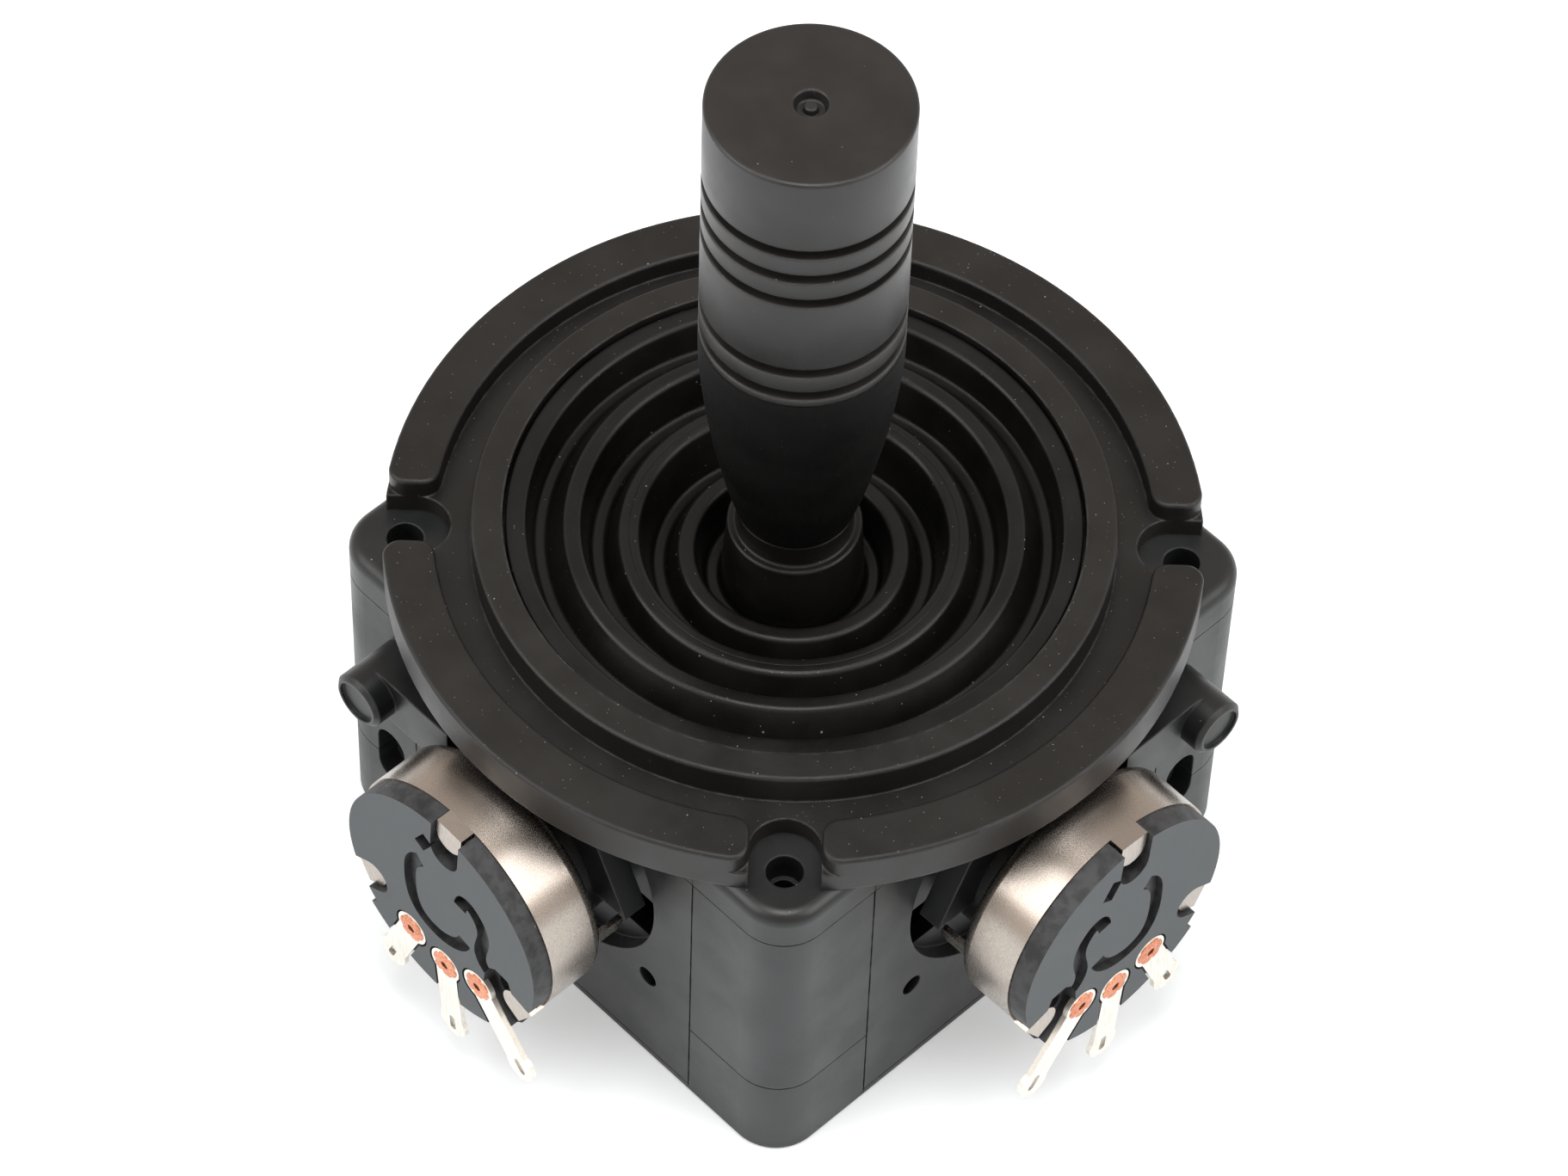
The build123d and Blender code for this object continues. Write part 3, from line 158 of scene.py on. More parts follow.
# Studio
CAMERA_AHEAD = math.degrees(CAMERA_AZIMUTH)
CAMERA_LEFT = CAMERA_AHEAD - 75
CAMERA_RIGHT = CAMERA_AHEAD + 75
FLOOR_HALF = 3.0
FLOOR_DROP = 0.00002
FLOOR_PAINT = (0.86, 0.88, 0.89, 1)
FLOOR_LIFT = 0.3
FAR_FLOOR_LIFT = 0.6
GLOSS_LIFT = 0.25
WHITE = (1, 1, 1, 1)
ROOM_LIGHT = (1.0, 0.98, 0.96, 1)
ROOM_GLOSS = (1.0, 0.9, 0.82, 1)


# Meshes
def rounded(corners, steps=6, closed=False):
    """A path through corners (x, y, radius).

    Each corner is cut off by an arc of its radius that touches both sides.
    """
    points = []
    count = len(corners)
    for index, (x, y, radius) in enumerate(corners):
        here = np.array((x, y), float)
        end = not closed and index in (0, count - 1)
        if end or radius == 0:
            points.append(here[None])
            continue
        back = np.array(corners[index - 1][:2]) - here
        ahead = np.array(corners[(index + 1) % count][:2]) - here
        back /= np.linalg.norm(back)
        ahead /= np.linalg.norm(ahead)
        half = math.acos(np.clip(back @ ahead, -1, 1)) / 2
        middle = (back + ahead) / np.linalg.norm(back + ahead)
        centre = here + middle * radius / math.sin(half)
        spread = math.pi / 2 - half
        turn = np.linspace(-spread, spread, steps + 1)
        side = np.array((-middle[1], middle[0]))
        if side @ ahead < 0:
            side = -side
        arc = centre - middle * radius * np.cos(turn)[:, None]
        points.append(arc + side * radius * np.sin(turn)[:, None])
    return np.concatenate(points)


def smooth_path(points, steps=8):
    """A Catmull-Rom curve through the points: a span is the cubic set by its four nearest."""
    p = np.array(points, float)
    p = np.concatenate((2 * p[:1] - p[1:2], p, 2 * p[-1:] - p[-2:-1]))
    t = np.linspace(0, 1, steps, endpoint=False)[None, :, None]
    a, b, c, d = (p[i:len(p) - 3 + i, None] for i in range(4))
    span = b + 0.5 * t * (c - a + t * (2 * a - 5 * b + 4 * c - d + t * (3 * (b - c) + d - a)))
    return np.concatenate((span.reshape(-1, 2), p[-2:-1]))


def grid_faces(rows, columns, closed_rows=False):
    """Quads between neighbouring points of a grid, whose last column joins its first.

    With closed rows, the last row joins the first as well.
    """
    i = np.arange(rows if closed_rows else rows - 1)[:, None]
    j = np.arange(columns)[None, :]
    corners = ((i, j), (i, j + 1), (i + 1, j + 1), (i + 1, j))
    quads = [(a % rows) * columns + b % columns for a, b in corners]
    return np.stack(np.broadcast_arrays(*quads), axis=-1).reshape(-1, 4)


def lathe(profile, closed_profile=False):
    """Points (r cos a, r sin a, z) for each profile point (r, z) and angle a, and their quads."""
    angle = np.linspace(0, 2 * math.pi, ROUND_STEPS, endpoint=False)
    radius, height = profile[:, :1], profile[:, 1:]
    points = np.stack((radius * np.cos(angle), radius * np.sin(angle), height + 0 * angle), axis=-1)
    faces = grid_faces(len(profile), ROUND_STEPS, closed_rows=closed_profile)
    return points.reshape(-1, 3) * MM, faces


def add_piece(name, points, faces, closed=True):
    """A mesh object from points and faces, its doubles merged and its faces turned outwards."""
    mesh = bpy.data.meshes.new(name)
    mesh.from_pydata(points.tolist(), [], faces.tolist())
    work = bmesh.new()
    work.from_mesh(mesh)
    bmesh.ops.remove_doubles(work, verts=work.verts, dist=MERGE_DISTANCE)
    if closed:
        bmesh.ops.recalc_face_normals(work, faces=work.faces)
    work.to_mesh(mesh)
    work.free()
    mesh.polygons.foreach_set("use_smooth", np.ones(len(mesh.polygons), bool))
    mesh.set_sharp_from_angle(angle=SHARP_ANGLE)
    piece = bpy.data.objects.new(name, mesh)
    bpy.context.scene.collection.objects.link(piece)
    return piece


# Handle
def groove(height):
    """One turned groove, from its lower to its upper lip, as rounded corners."""
    half = GROOVE_WIDTH / 2
    floor = half * GROOVE_FLOOR_SHARE
    bottom = HANDLE_RADIUS - GROOVE_DEPTH
    return [
        (HANDLE_RADIUS, height - half, GROOVE_LIP),
        (bottom, height - floor, GROOVE_LIP),
        (bottom, height + floor, GROOVE_LIP),
        (HANDLE_RADIUS, height + half, GROOVE_LIP),
    ]


def make_knob():
    """The turned knob: bore, foot, five grooves, edge, and the pit and nub in the top."""
    corners = [(0, SHAFT_BORE_TOP, 0), (SHAFT_BORE, SHAFT_BORE_TOP, 0), (SHAFT_BORE, KNOB_FOOT, 0)]
    corners.append((HANDLE_RADIUS, KNOB_FOOT, GROOVE_LIP))
    for height in reversed(GROOVE_HEIGHTS):
        corners += groove(height)
    floor = KNOB_TOP - PIT_DEPTH
    corners += [
        (HANDLE_RADIUS, KNOB_TOP, KNOB_EDGE),
        (PIT_RADIUS, KNOB_TOP, PIT_EDGE),
        (PIT_FLOOR_RADIUS, floor, PIT_EDGE),
        (NUB_FOOT_RADIUS, floor, 0.1),
        (NUB_TOP_RADIUS, floor + NUB_HEIGHT, 0.12),
        (0, floor + NUB_HEIGHT, 0),
    ]
    piece = add_piece("turned_knob", *lathe(rounded(corners)))
    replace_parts(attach(piece, "lever"), "knob")
    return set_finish(piece, "knob_plastic")


def make_skirt():
    """The skirt: a curved taper from the knob down to the neck, which runs on into the boot."""
    side = smooth_path(SKIRT_SIDE)
    shoulder = rounded([
        (SKIRT_FOOT_RADIUS, SKIRT_FOOT, 0),
        (NECK_RADIUS, SKIRT_FOOT - SKIRT_SHOULDER, 0.1),
        (NECK_RADIUS, NECK_FOOT, 0),
    ])
    top_radius = HANDLE_RADIUS - SKIRT_TOP_STEP
    inside = np.array([(SHAFT_BORE, NECK_FOOT), (SHAFT_BORE, KNOB_FOOT), (top_radius, KNOB_FOOT)])
    profile = np.concatenate((side, shoulder[1:], inside))
    piece = add_piece("moulded_skirt", *lathe(profile, closed_profile=True))
    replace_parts(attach(piece, "lever"), "handle_skirt")
    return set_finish(piece, "skirt_plastic")


# Boot
def walled(profile):
    """The profile and its copy set in by the wall, as one loop.

    Each point of the copy moves square to the mean of its two spans.
    """
    spans = np.diff(profile, axis=0)
    spans /= np.linalg.norm(spans, axis=1)[:, None]
    along = np.concatenate((spans[:1], spans[:-1] + spans[1:], spans[-1:]))
    along /= np.linalg.norm(along, axis=1)[:, None]
    inside = profile + BOOT_WALL * np.stack((-along[:, 1], along[:, 0]), axis=-1)
    return np.concatenate((profile, inside[::-1]))


def boot_ring(name, profile):
    """A ring of the bellows: its walled profile turned about Z, with its transform baked into its
    points.
    """
    piece = add_piece(name, *lathe(walled(profile), closed_profile=True))
    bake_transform(piece)
    place = np.zeros(len(piece.data.vertices) * 3)
    piece.data.vertices.foreach_get("co", place)
    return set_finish(piece, "boot_rubber")


def make_boot():
    """The rubber bellows in two rings that meet on a crest.
    """
    profile = rounded(BOOT_FOLDS, steps=8)
    split = np.argmax(profile[:, 0] > BOOT_SPLIT_RADIUS)
    seam = np.array([[BOOT_SPLIT_RADIUS, profile[split, 1]]])
    inner = np.concatenate((profile[:split], seam))
    outer = np.concatenate((seam, profile[split:]))
    outer_ring = boot_ring("boot_outer_folds", outer[::-1])
    inner_ring = boot_ring("boot_inner_folds", inner[::-1])
    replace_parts(outer_ring, "boot")
    return outer_ring, inner_ring


# Eyelets
def eyelet(turn):
    """One flared eyelet about Z: a lathed ring (r cos a, r sin a, h) with a rolled lip, in petals.

    A crease's depth falls off as exp(-(a / CREASE_WIDTH) ** 2) round it and grows with the radius.
    """
    corners = [
        (EYELET_BORE, EYELET_FOOT, 0),
        (EYELET_BORE, EYELET_TOP - 0.12, 0.05),
        (EYELET_FLARE_START, EYELET_TOP, 0.1),
        (EYELET_FLARE_END, EYELET_TOP - 0.02, 0.2),
        (EYELET_RADIUS, EYELET_TOP - 0.17, 0.06),
        (EYELET_RADIUS, EYELET_FOOT, 0),
    ]
    profile = rounded(corners, steps=5, closed=True)
    angle = np.linspace(0, 2 * math.pi, EYELET_STEPS, endpoint=False)
    petal = 2 * math.pi / EYELET_PETALS
    near = (angle - turn + petal / 2) % petal - petal / 2
    crease = np.exp(-(near / CREASE_WIDTH) ** 2)
    radius, height = profile[:, :1], profile[:, 1:]
    outwards = np.clip((radius - CREASE_START) / (EYELET_RADIUS - CREASE_START), 0, 1)
    above = np.clip((height - EYELET_FOOT) / (EYELET_TOP - EYELET_FOOT), 0, 1)
    radius = radius - CREASE_REACH * crease * outwards
    height = height - CREASE_DEPTH * crease * outwards ** 0.5 * above
    points = np.stack((radius * np.cos(angle), radius * np.sin(angle), height), axis=-1)
    return points.reshape(-1, 3), grid_faces(len(profile), len(angle), closed_rows=True)


def make_eyelets(side):
    """Three eyelets on one potentiometer: on -Y for the left, mirrored on +X for the right."""
    all_points, all_faces, count = [], [], 0
    for index, degrees in enumerate(EYELET_ANGLES):
        points, faces = eyelet(FIRST_TURN + TURN_STEP * index)
        way = math.radians(degrees)
        across = points[:, 0] + EYELET_CIRCLE * math.cos(way)
        up = points[:, 1] + EYELET_CIRCLE * math.sin(way) + PIVOT_HEIGHT
        out = points[:, 2] + SIDE_FACE
        placed = (across, -out, up) if side == "left" else (out, -across, up)
        all_points.append(np.stack(placed, axis=-1) * MM)
        all_faces.append(faces + count)
        count += len(points)
    piece = add_piece(side + "_pot_eyelets", np.concatenate(all_points), np.concatenate(all_faces))
    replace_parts(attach(piece, "housing"), side + "_pot_rivets")
    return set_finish(piece, "copper")


# Shader nodes
def add_node(tree, kind, links=None, **settings):
    """A node with its settings; links maps an input's name or number to a socket or a value."""
    node = tree.nodes.new(kind)
    for key, value in settings.items():
        setattr(node, key, value)
    for key, value in (links or {}).items():
        if isinstance(value, bpy.types.NodeSocket):
            tree.links.new(value, node.inputs[key])
        else:
            node.inputs[key].default_value = value
    return node


def ramp(tree, value, low, high, to_low=0.0, to_high=1.0):
    """A smooth step of value from low to high."""
    links = {"Value": value, "From Min": low, "From Max": high, "To Min": to_low, "To Max": to_high}
    node = add_node(tree, "ShaderNodeMapRange", links, interpolation_type="SMOOTHSTEP")
    return node.outputs["Result"]


def maths(tree, operation, *values):
    """One Math node's result."""
    return add_node(tree, "ShaderNodeMath", dict(enumerate(values)), operation=operation).outputs[0]


def gap(tree, value, other):
    """How far value is from other, either way."""
    return maths(tree, "ABSOLUTE", maths(tree, "SUBTRACT", value, other))


def noise(tree, place, scale, detail, roughness=0.5):
    """A cloudy value, about a half on average."""
    links = {"Vector": place, "Scale": scale, "Detail": detail, "Roughness": roughness}
    return add_node(tree, "ShaderNodeTexNoise", links).outputs["Fac"]


def axis_of(tree, vector, axis):
    """One axis of a vector, by its letter."""
    return add_node(tree, "ShaderNodeSeparateXYZ", {"Vector": vector}).outputs[axis]


def place_on_piece(tree):
    """The place on the piece, which is its place in the joystick's own frame."""
    return add_node(tree, "ShaderNodeTexCoord").outputs["Object"]


def mix_colour(tree, mask, first, second):
    """First colour where the mask is 0, second where it is 1."""
    links = {0: mask, 6: first, 7: second}
    return add_node(tree, "ShaderNodeMix", links, data_type="RGBA").outputs[2]


# Shared shader groups
def new_group(name, inputs, outputs):
    """An empty shader group with float sockets; what goes in, and where its results go."""
    group = bpy.data.node_groups.new(name, "ShaderNodeTree")
    kind = "NodeSocketFloat"
    for label, value in inputs.items():
        socket = group.interface.new_socket(label, in_out="INPUT", socket_type=kind)
        socket.default_value = value
    for label in outputs:
        group.interface.new_socket(label, in_out="OUTPUT", socket_type=kind)
    given = group.nodes.new("NodeGroupInput").outputs
    result = group.nodes.new("NodeGroupOutput").inputs
    return group, given, result


def moulded_grain():
    """The fine sparkle of a spark-eroded mould: one noise as a height, one as a change in gloss."""
    group, given, result = new_group("moulded grain", {"Size": 0.0003, "Cloud": 0.006},
                                     ("Height", "Gloss"))
    place = place_on_piece(group)
    fine = maths(group, "DIVIDE", 1.0, given["Size"])
    broad = maths(group, "DIVIDE", 1.0, given["Cloud"])
    group.links.new(noise(group, place, fine, 3.0, 0.6), result["Height"])
    group.links.new(noise(group, place, broad, 4.0, 0.55), result["Gloss"])
    return group


def dust():
    """Pale specks that lie thickest on faces that look up: round cells, few of them filled."""
    group, given, result = new_group("dust", {"Spacing": 0.0022, "Amount": 0.3}, ("Mask",))
    coordinates = add_node(group, "ShaderNodeTexCoord").outputs
    scale = maths(group, "DIVIDE", 1.0, given["Spacing"])
    masks = []
    for finer, radius in DUST_SIZES:
        links = {"Vector": coordinates["Object"], "Scale": maths(group, "MULTIPLY", scale, finer),
                 "Randomness": 1.0}
        cells = add_node(group, "ShaderNodeTexVoronoi", links).outputs
        chance = add_node(group, "ShaderNodeSeparateColor", {"Color": cells["Color"]}).outputs
        size = maths(group, "MULTIPLY", chance["Green"], radius)
        reach = maths(group, "ADD", size, radius / 3)
        spot = maths(group, "LESS_THAN", cells["Distance"], reach)
        filled = maths(group, "LESS_THAN", chance["Red"], given["Amount"])
        masks.append(maths(group, "MULTIPLY", spot, filled))
    settled = ramp(group, axis_of(group, coordinates["Normal"], "Z"), -0.2, 0.9, 0.15, 1.0)
    both = maths(group, "MAXIMUM", *masks)
    group.links.new(maths(group, "MULTIPLY", both, settled), result["Mask"])
    return group


def edge_wear():
    """1 along worn edges, where a rounded edge's normal leaves the surface's own; in patches."""
    group, given, result = new_group("edge wear", {"Radius": 0.0004}, ("Mask",))
    own = add_node(group, "ShaderNodeNewGeometry").outputs["Normal"]
    bevel = add_node(group, "ShaderNodeBevel", {"Radius": given["Radius"]}, samples=4).outputs[0]
    same = add_node(group, "ShaderNodeVectorMath", {0: own, 1: bevel}, operation="DOT_PRODUCT")
    edge = ramp(group, same.outputs["Value"], 0.99, 0.86)
    patchy = ramp(group, noise(group, place_on_piece(group), 700.0, 3.0), 0.35, 0.65)
    group.links.new(maths(group, "MULTIPLY", edge, patchy), result["Mask"])
    return group


def paint_seam_shade():
    """1 on the four faces near a plate's upright seam, with an edge made ragged by noise: the mask
    of painted shade in the seam.
    """
    group, given, result = new_group("painted seam shade", {"Width": 0.00013}, ("Mask",))
    place = place_on_piece(group)
    x, y = (maths(group, "ABSOLUTE", axis_of(group, place, axis)) for axis in "XY")
    ragged = ramp(group, noise(group, place, 900.0, 3.0), 0.3, 0.7, 0.55, 1.3)
    width = maths(group, "MULTIPLY", given["Width"], ragged)
    masks = []
    for across, out in ((x, y), (y, x)):
        away = maths(group, "DIVIDE", gap(group, across, SEAM_PLACE * MM), width)
        on_face = maths(group, "LESS_THAN", gap(group, out, SIDE_FACE * MM), FACE_DEPTH * MM)
        masks.append(maths(group, "MULTIPLY", ramp(group, away, 1.0, 0.6), on_face))
    group.links.new(maths(group, "MAXIMUM", *masks), result["Mask"])
    return group


GROUP_MAKERS = {"grain": moulded_grain, "dust": dust, "wear": edge_wear, "painted_seam_shade": paint_seam_shade}
GROUPS = {}


def use(tree, group_name, **values):
    """The results of a shared group, placed in a material with its own values."""
    if group_name not in GROUPS:
        GROUPS[group_name] = GROUP_MAKERS[group_name]()
    node = tree.nodes.new("ShaderNodeGroup")
    node.node_tree = GROUPS[group_name]
    for key, value in values.items():
        node.inputs[key].default_value = value
    return node.outputs


# Materials
def blank_material(name):
    """A material with one Principled shader, and its tree."""
    material = bpy.data.materials.new(name)
    material.use_nodes = True
    return material, material.node_tree, material.node_tree.nodes["Principled BSDF"]


def bend_normal(tree, shader, height, distance, **links):
    """The shader's normal, bent by a height that is this many metres from 0 to 1."""
    links = {"Height": height, "Distance": distance, **links}
    bump = add_node(tree, "ShaderNodeBump", links)
    tree.links.new(bump.outputs["Normal"], shader.inputs["Normal"])


def grey(level, warm=0.0):
    """A grey of this level, warmer above 0 and cooler below."""
    return (level * (1 + warm), level, level * (1 - warm), 1)


def plastic(name, colour, paler, roughness, dust_amount=0.25, dust_spacing=0.0022,
            dust_colour=DUST_GREY, wear=0.3, specular=0.5, painted_seam_shade=False):
    """Moulded or turned plastic: clouded gloss, mould grain, soft worn edges and dust specks.

    Painted shade in the seams is bare of gloss, so there the black base counts as metal.
    """
    material, tree, shader = blank_material(name)
    shader.inputs["Specular IOR Level"].default_value = specular
    texture = use(tree, "grain", Size=GRAIN_SIZE)
    base = mix_colour(tree, ramp(tree, texture["Gloss"], 0.3, 0.7), colour, paler)
    worn = maths(tree, "MULTIPLY", use(tree, "wear")["Mask"], wear)
    base = mix_colour(tree, worn, base, grey(0.1))
    specks = use(tree, "dust", Amount=dust_amount, Spacing=dust_spacing)["Mask"]
    base = mix_colour(tree, specks, base, dust_colour)
    # Painted shade in the upright seams: a near-black base there, and the mask as Metallic takes the
    # gloss away.
    if painted_seam_shade:
        seam_shade_mask = use(tree, "painted_seam_shade")["Mask"]
        base = mix_colour(tree, seam_shade_mask, base, grey(0.005, 0.1))
        tree.links.new(seam_shade_mask, shader.inputs["Metallic"])
    tree.links.new(base, shader.inputs["Base Color"])
    half = GLOSS_SPREAD / 2
    sheen = ramp(tree, texture["Gloss"], 0.3, 0.7, roughness - half, roughness + half)
    matt = maths(tree, "MULTIPLY", specks, 0.9)
    tree.links.new(maths(tree, "MAXIMUM", sheen, matt), shader.inputs["Roughness"])
    relief = maths(tree, "ADD", texture["Height"], maths(tree, "MULTIPLY", specks, 2.0))
    soft = add_node(tree, "ShaderNodeBevel", {"Radius": SOFT_EDGE * MM}, samples=4).outputs[0]
    bend_normal(tree, shader, relief, GRAIN_DEPTH, Normal=soft)
    return material


def brushed_metal(name, colour, darker, roughness, stretch=14.0):
    """Plated or ground metal: fine streaks along Z, with cloudy stains."""
    material, tree, shader = blank_material(name)
    shader.inputs["Metallic"].default_value = 1.0
    fine = 1 / METAL_GRAIN
    links = {"Vector": place_on_piece(tree), "Scale": (fine, fine, fine / stretch)}
    stretched = add_node(tree, "ShaderNodeMapping", links).outputs[0]
    streaks = noise(tree, stretched, 1.0, 3.0)
    stains = use(tree, "grain", Cloud=0.004)["Gloss"]
    shade = maths(tree, "ADD", maths(tree, "MULTIPLY", streaks, 0.75),
                  maths(tree, "MULTIPLY", stains, 0.25))
    tint = mix_colour(tree, ramp(tree, shade, 0.3, 0.7), darker, colour)
    tree.links.new(tint, shader.inputs["Base Color"])
    sheen = ramp(tree, shade, 0.3, 0.7, roughness * 1.1, roughness * 0.9)
    tree.links.new(sheen, shader.inputs["Roughness"])
    bend_normal(tree, shader, streaks, 0.000004)
    return material


def phenolic(name, axis):
    """Pressed phenolic board, whose face looks along an axis.

    The flat face has a slate grey skin, and cut edges and sunk floors show dark mottled fibre.
    """
    material, tree, shader = blank_material(name)
    coordinates = add_node(tree, "ShaderNodeTexCoord").outputs
    facing = maths(tree, "ABSOLUTE", axis_of(tree, coordinates["Normal"], axis))
    across = maths(tree, "ABSOLUTE", axis_of(tree, coordinates["Object"], axis))
    face = SIDE_FACE + COVER_FACE
    sunk = ramp(tree, across, (face - SUNK_START) * MM, (face - SUNK_END) * MM)
    cut = maths(tree, "MAXIMUM", ramp(tree, facing, 0.92, 0.6), sunk)
    skin_texture = use(tree, "grain", Size=0.0002, Cloud=0.0035)
    fibre_texture = use(tree, "grain", Size=0.0004, Cloud=0.0012)
    skin = mix_colour(tree, ramp(tree, skin_texture["Gloss"], 0.3, 0.7), SLATE, SLATE_PALE)
    fibre = mix_colour(tree, ramp(tree, fibre_texture["Gloss"], 0.35, 0.65), FIBRE, FIBRE_PALE)
    specks = use(tree, "dust", Amount=0.2, Spacing=0.0018)["Mask"]
    base = mix_colour(tree, specks, mix_colour(tree, cut, skin, fibre), DUST_PALE)
    tree.links.new(base, shader.inputs["Base Color"])
    sheen = ramp(tree, skin_texture["Gloss"], 0.3, 0.7, 0.5, 0.62)
    tree.links.new(sheen, shader.inputs["Roughness"])
    bend_normal(tree, shader, skin_texture["Height"], 0.00002)
    return material


# Each plastic: its colour, a paler one, its roughness, and what differs from the plain finish
PLASTICS = {
    # The housing gets painted shade in its upright seams.
    "housing_plastic": ((0.008, 0.0089, 0.0094, 1), (0.0108, 0.0118, 0.0124, 1), 0.4,
                        {"specular": 0.46, "painted_seam_shade": True}),
    "bezel_plastic": ((0.008, 0.0071, 0.0064, 1), (0.0112, 0.01, 0.009, 1), 0.42,
                      {"dust_amount": 0.75, "dust_spacing": 0.0013, "dust_colour": DUST_BROWN,
                       "wear": 0.5, "specular": 0.37}),
    "boot_rubber": ((0.0042, 0.0038, 0.0035, 1), (0.0068, 0.0061, 0.0056, 1), 0.32,
                    {"dust_amount": 0.45, "dust_spacing": 0.0018, "wear": 0.0, "specular": 0.3}),
    "knob_plastic": ((0.0105, 0.0096, 0.0091, 1), (0.014, 0.0128, 0.0122, 1), 0.34,
                     {"dust_amount": 0.1, "wear": 0.15}),
    "skirt_plastic": ((0.0014, 0.0013, 0.0012, 1), (0.0026, 0.0024, 0.0023, 1), 0.55,
                      {"dust_amount": 0.12, "wear": 0.0, "specular": 0.12}),
    "bearing_plastic": (grey(0.62, 0.05), grey(0.7, 0.05), 0.45, {"wear": 0.0}),
    "yoke_plastic": (grey(0.05), grey(0.065), 0.5, {}),
}

# Each metal: its colour, a darker one, its roughness, and what differs from the plain finish
METALS = {
    "steel": ((0.62, 0.62, 0.61, 1), (0.5, 0.5, 0.49, 1), 0.3, {}),
    "spring_steel": ((0.5, 0.5, 0.48, 1), (0.38, 0.38, 0.37, 1), 0.35, {}),
    "nickel_can": ((0.46, 0.41, 0.365, 1), (0.39, 0.345, 0.305, 1), 0.27, {}),
    "tinned_brass": ((0.9, 0.87, 0.81, 1), (0.74, 0.7, 0.63, 1), 0.42, {}),
    "copper": ((0.86, 0.42, 0.27, 1), (0.42, 0.13, 0.07, 1), 0.42, {"stretch": 1.0}),
    "brass": ((0.75, 0.6, 0.3, 1), (0.6, 0.46, 0.2, 1), 0.3, {}),
}


def make_materials():
    """One finished material for each of the record's slots, and one for each cover's axis."""
    made = {"phenolic": phenolic("phenolic", "Y"), "phenolic_right": phenolic("phenolic_right", "X")}
    for maker, finishes in ((plastic, PLASTICS), (brushed_metal, METALS)):
        for name, (*look, changes) in finishes.items():
            made[name] = maker(name, *look, **changes)
    return made


def dress(piece, material):
    """The material in every slot of the piece."""
    piece.data.materials.clear()
    piece.data.materials.append(material)


# Studio
def make_camera():
    """The photograph's camera: its place, its turn by azimuth, elevation and roll, and its lens."""
    data = bpy.data.cameras.new("camera")
    data.lens = CAMERA_LENS
    data.sensor_width = SENSOR_WIDTH
    data.clip_start = 0.01
    data.clip_end = 20.0
    camera = bpy.data.objects.new("camera", data)
    azimuth = Matrix.Rotation(CAMERA_AZIMUTH, 4, "Z")
    elevation = Matrix.Rotation(math.pi / 2 - CAMERA_ELEVATION, 4, "X")
    roll = Matrix.Rotation(CAMERA_ROLL, 4, "Z")
    camera.matrix_world = Matrix.Translation(CAMERA_PLACE) @ azimuth @ elevation @ roll
    bpy.context.scene.collection.objects.link(camera)
    bpy.context.scene.camera = camera


def seen_rays(tree):
    """1 for a ray that looks: from the camera, off gloss or through glass."""
    path = add_node(tree, "ShaderNodeLightPath").outputs
    indirect = maths(tree, "MAXIMUM", path["Is Glossy Ray"], path["Is Transmission Ray"])
    return maths(tree, "MAXIMUM", path["Is Camera Ray"], indirect)


def make_floor():
    """A wide pale floor at the housing's foot.

    It is lifted to white for what looks at it, camera, gloss and glass, and for the camera more
    so far away, where the lamps don't reach.
    """
    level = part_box("base_cover")[0].z - FLOOR_DROP
    signs = ((-1, -1), (1, -1), (1, 1), (-1, 1))
    corners = np.array([(x * FLOOR_HALF, y * FLOOR_HALF, level) for x, y in signs])
    floor = add_piece("floor", corners, np.array([(0, 1, 2, 3)]), closed=False)
    material = bpy.data.materials.new("floor")
    material.use_nodes = True
    tree = material.node_tree
    tree.nodes.clear()
    paint = add_node(tree, "ShaderNodeBsdfDiffuse", {"Color": FLOOR_PAINT}).outputs[0]
    length = add_node(tree, "ShaderNodeVectorMath", {0: place_on_piece(tree)}, operation="LENGTH")
    camera = add_node(tree, "ShaderNodeLightPath").outputs["Is Camera Ray"]
    away = ramp(tree, length.outputs["Value"], 0.3, 0.9, 0.0, FAR_FLOOR_LIFT)
    strength = maths(tree, "ADD", maths(tree, "MULTIPLY", camera, away), FLOOR_LIFT)
    lift = add_node(tree, "ShaderNodeEmission", {"Color": WHITE, "Strength": strength}).outputs[0]
    both = add_node(tree, "ShaderNodeAddShader", {0: paint, 1: lift}).outputs[0]
    mixed = add_node(tree, "ShaderNodeMixShader", {0: seen_rays(tree), 1: paint, 2: both})
    add_node(tree, "ShaderNodeOutputMaterial", {"Surface": mixed.outputs[0]})
    dress(floor, material)


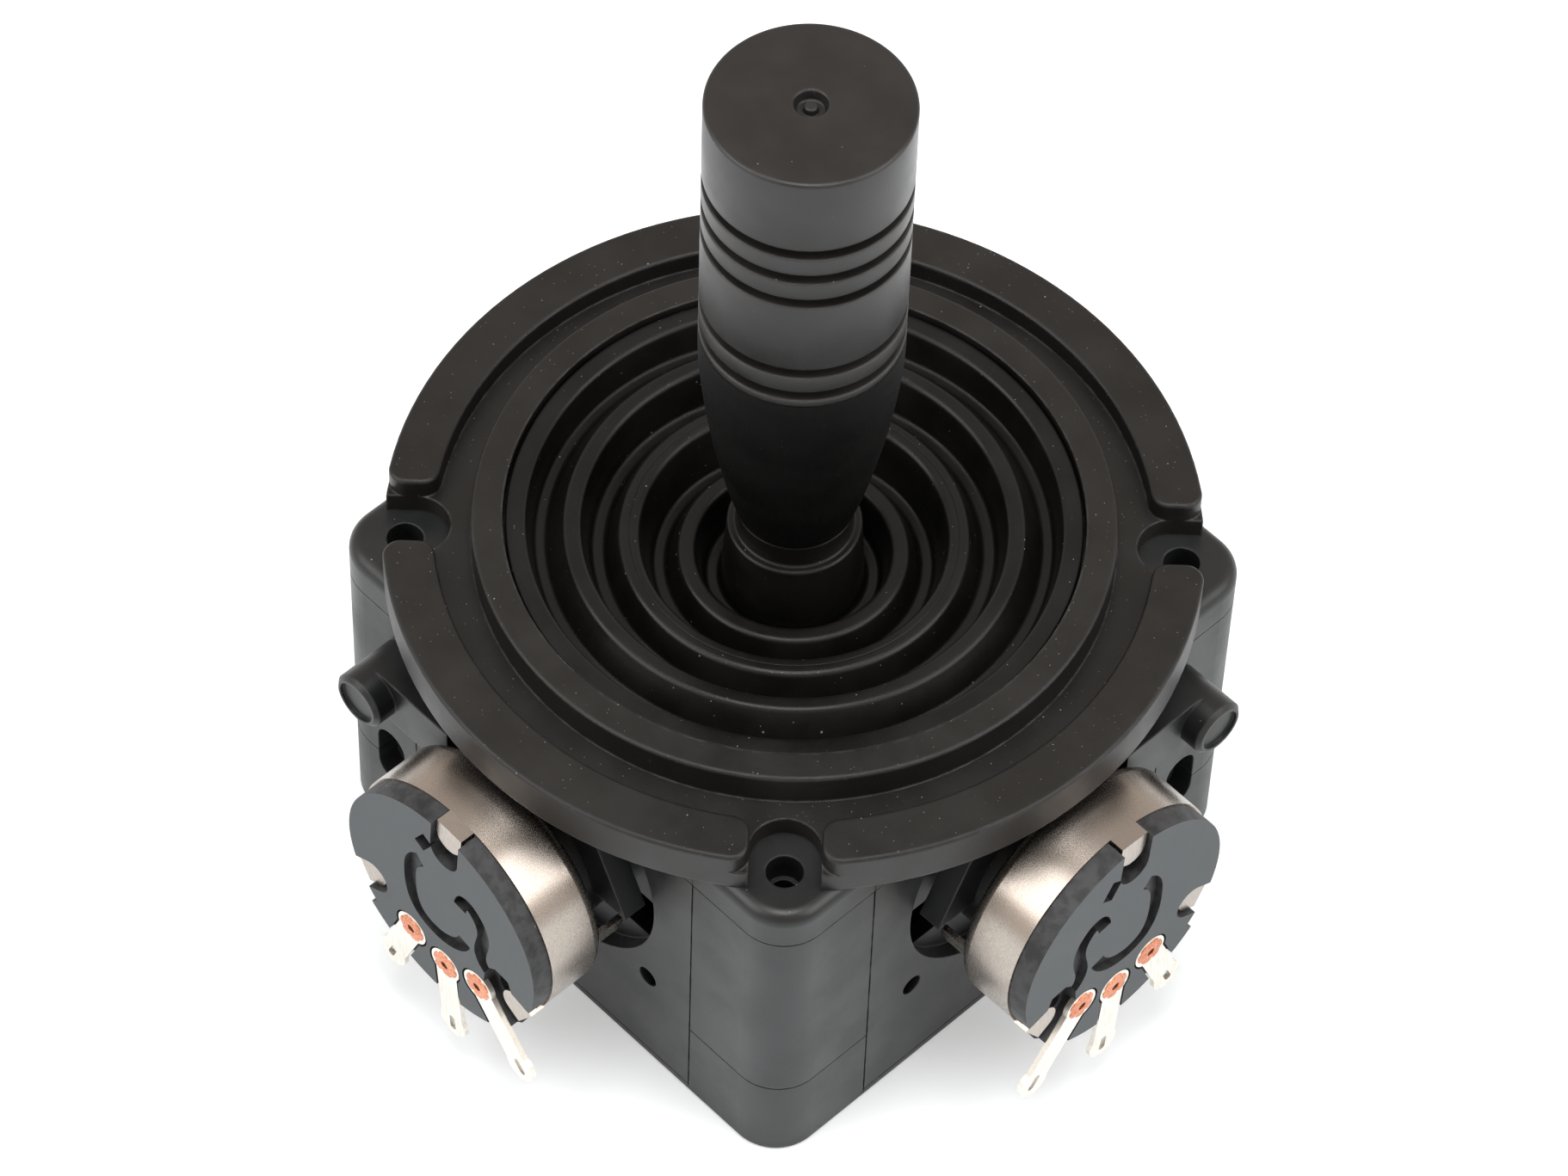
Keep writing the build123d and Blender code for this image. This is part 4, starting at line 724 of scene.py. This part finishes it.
def add_lamp(name, azimuth, elevation, distance, size, power):
    """A square soft box that looks at the joystick from a direction given as for the camera."""
    data = bpy.data.lights.new(name, "AREA")
    data.shape = "SQUARE"
    data.size = size
    data.energy = power
    lamp = bpy.data.objects.new(name, data)
    a, e = math.radians(azimuth), math.radians(elevation)
    way = Vector((math.sin(a) * math.cos(e), -math.cos(a) * math.cos(e), math.sin(e)))
    lamp.location = way * distance
    lamp.rotation_mode = "QUATERNION"
    lamp.rotation_quaternion = way.to_track_quat("Z", "Y")
    bpy.context.scene.collection.objects.link(lamp)


def make_world():
    """White for the camera; for light and gloss, a paler ring at the horizon, a dimmer ceiling."""
    world = bpy.data.worlds.new("studio")
    world.use_nodes = True
    tree = world.node_tree
    tree.nodes.clear()
    way = add_node(tree, "ShaderNodeTexCoord").outputs["Generated"]
    path = add_node(tree, "ShaderNodeLightPath").outputs
    gloss = maths(tree, "MULTIPLY", path["Is Glossy Ray"], GLOSS_LIFT)
    level = maths(tree, "ADD", ramp(tree, axis_of(tree, way, "Z"), 0.1, 0.9, 0.6, 0.4), gloss)
    tint = mix_colour(tree, path["Is Glossy Ray"], ROOM_LIGHT, ROOM_GLOSS)
    room = add_node(tree, "ShaderNodeBackground", {"Color": tint, "Strength": level}).outputs[0]
    white = add_node(tree, "ShaderNodeBackground", {"Color": WHITE, "Strength": 1.0}).outputs[0]
    mixed = add_node(tree, "ShaderNodeMixShader", {0: path["Is Camera Ray"], 1: room, 2: white})
    add_node(tree, "ShaderNodeOutputWorld", {"Surface": mixed.outputs[0]})
    bpy.context.scene.world = world


def make_studio():
    """Camera, floor, room and soft boxes."""
    make_camera()
    make_floor()
    make_world()
    add_lamp("key_left", CAMERA_LEFT, 40, 0.7, 0.5, 2.6)
    add_lamp("key_right", CAMERA_RIGHT, 40, 0.7, 0.5, 2.6)
    add_lamp("overhead", CAMERA_AHEAD, 84, 0.8, 0.34, 3.0)
    bpy.context.scene.view_settings.view_transform = "Standard"


make_studio()
materials = make_materials()
for node, slot in ((s["node"], s["material_slot"]) for s in frame["record"]["subparts"]):
    finish = "phenolic_right" if slot == "phenolic" and node.startswith("right") else slot
    dress(frame["nodes"][node], materials[finish])
new_pieces = (make_knob(), make_skirt(), *make_boot(), make_eyelets("left"), make_eyelets("right"))
for new_piece in new_pieces:
    dress(new_piece, materials[new_piece["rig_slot"]])
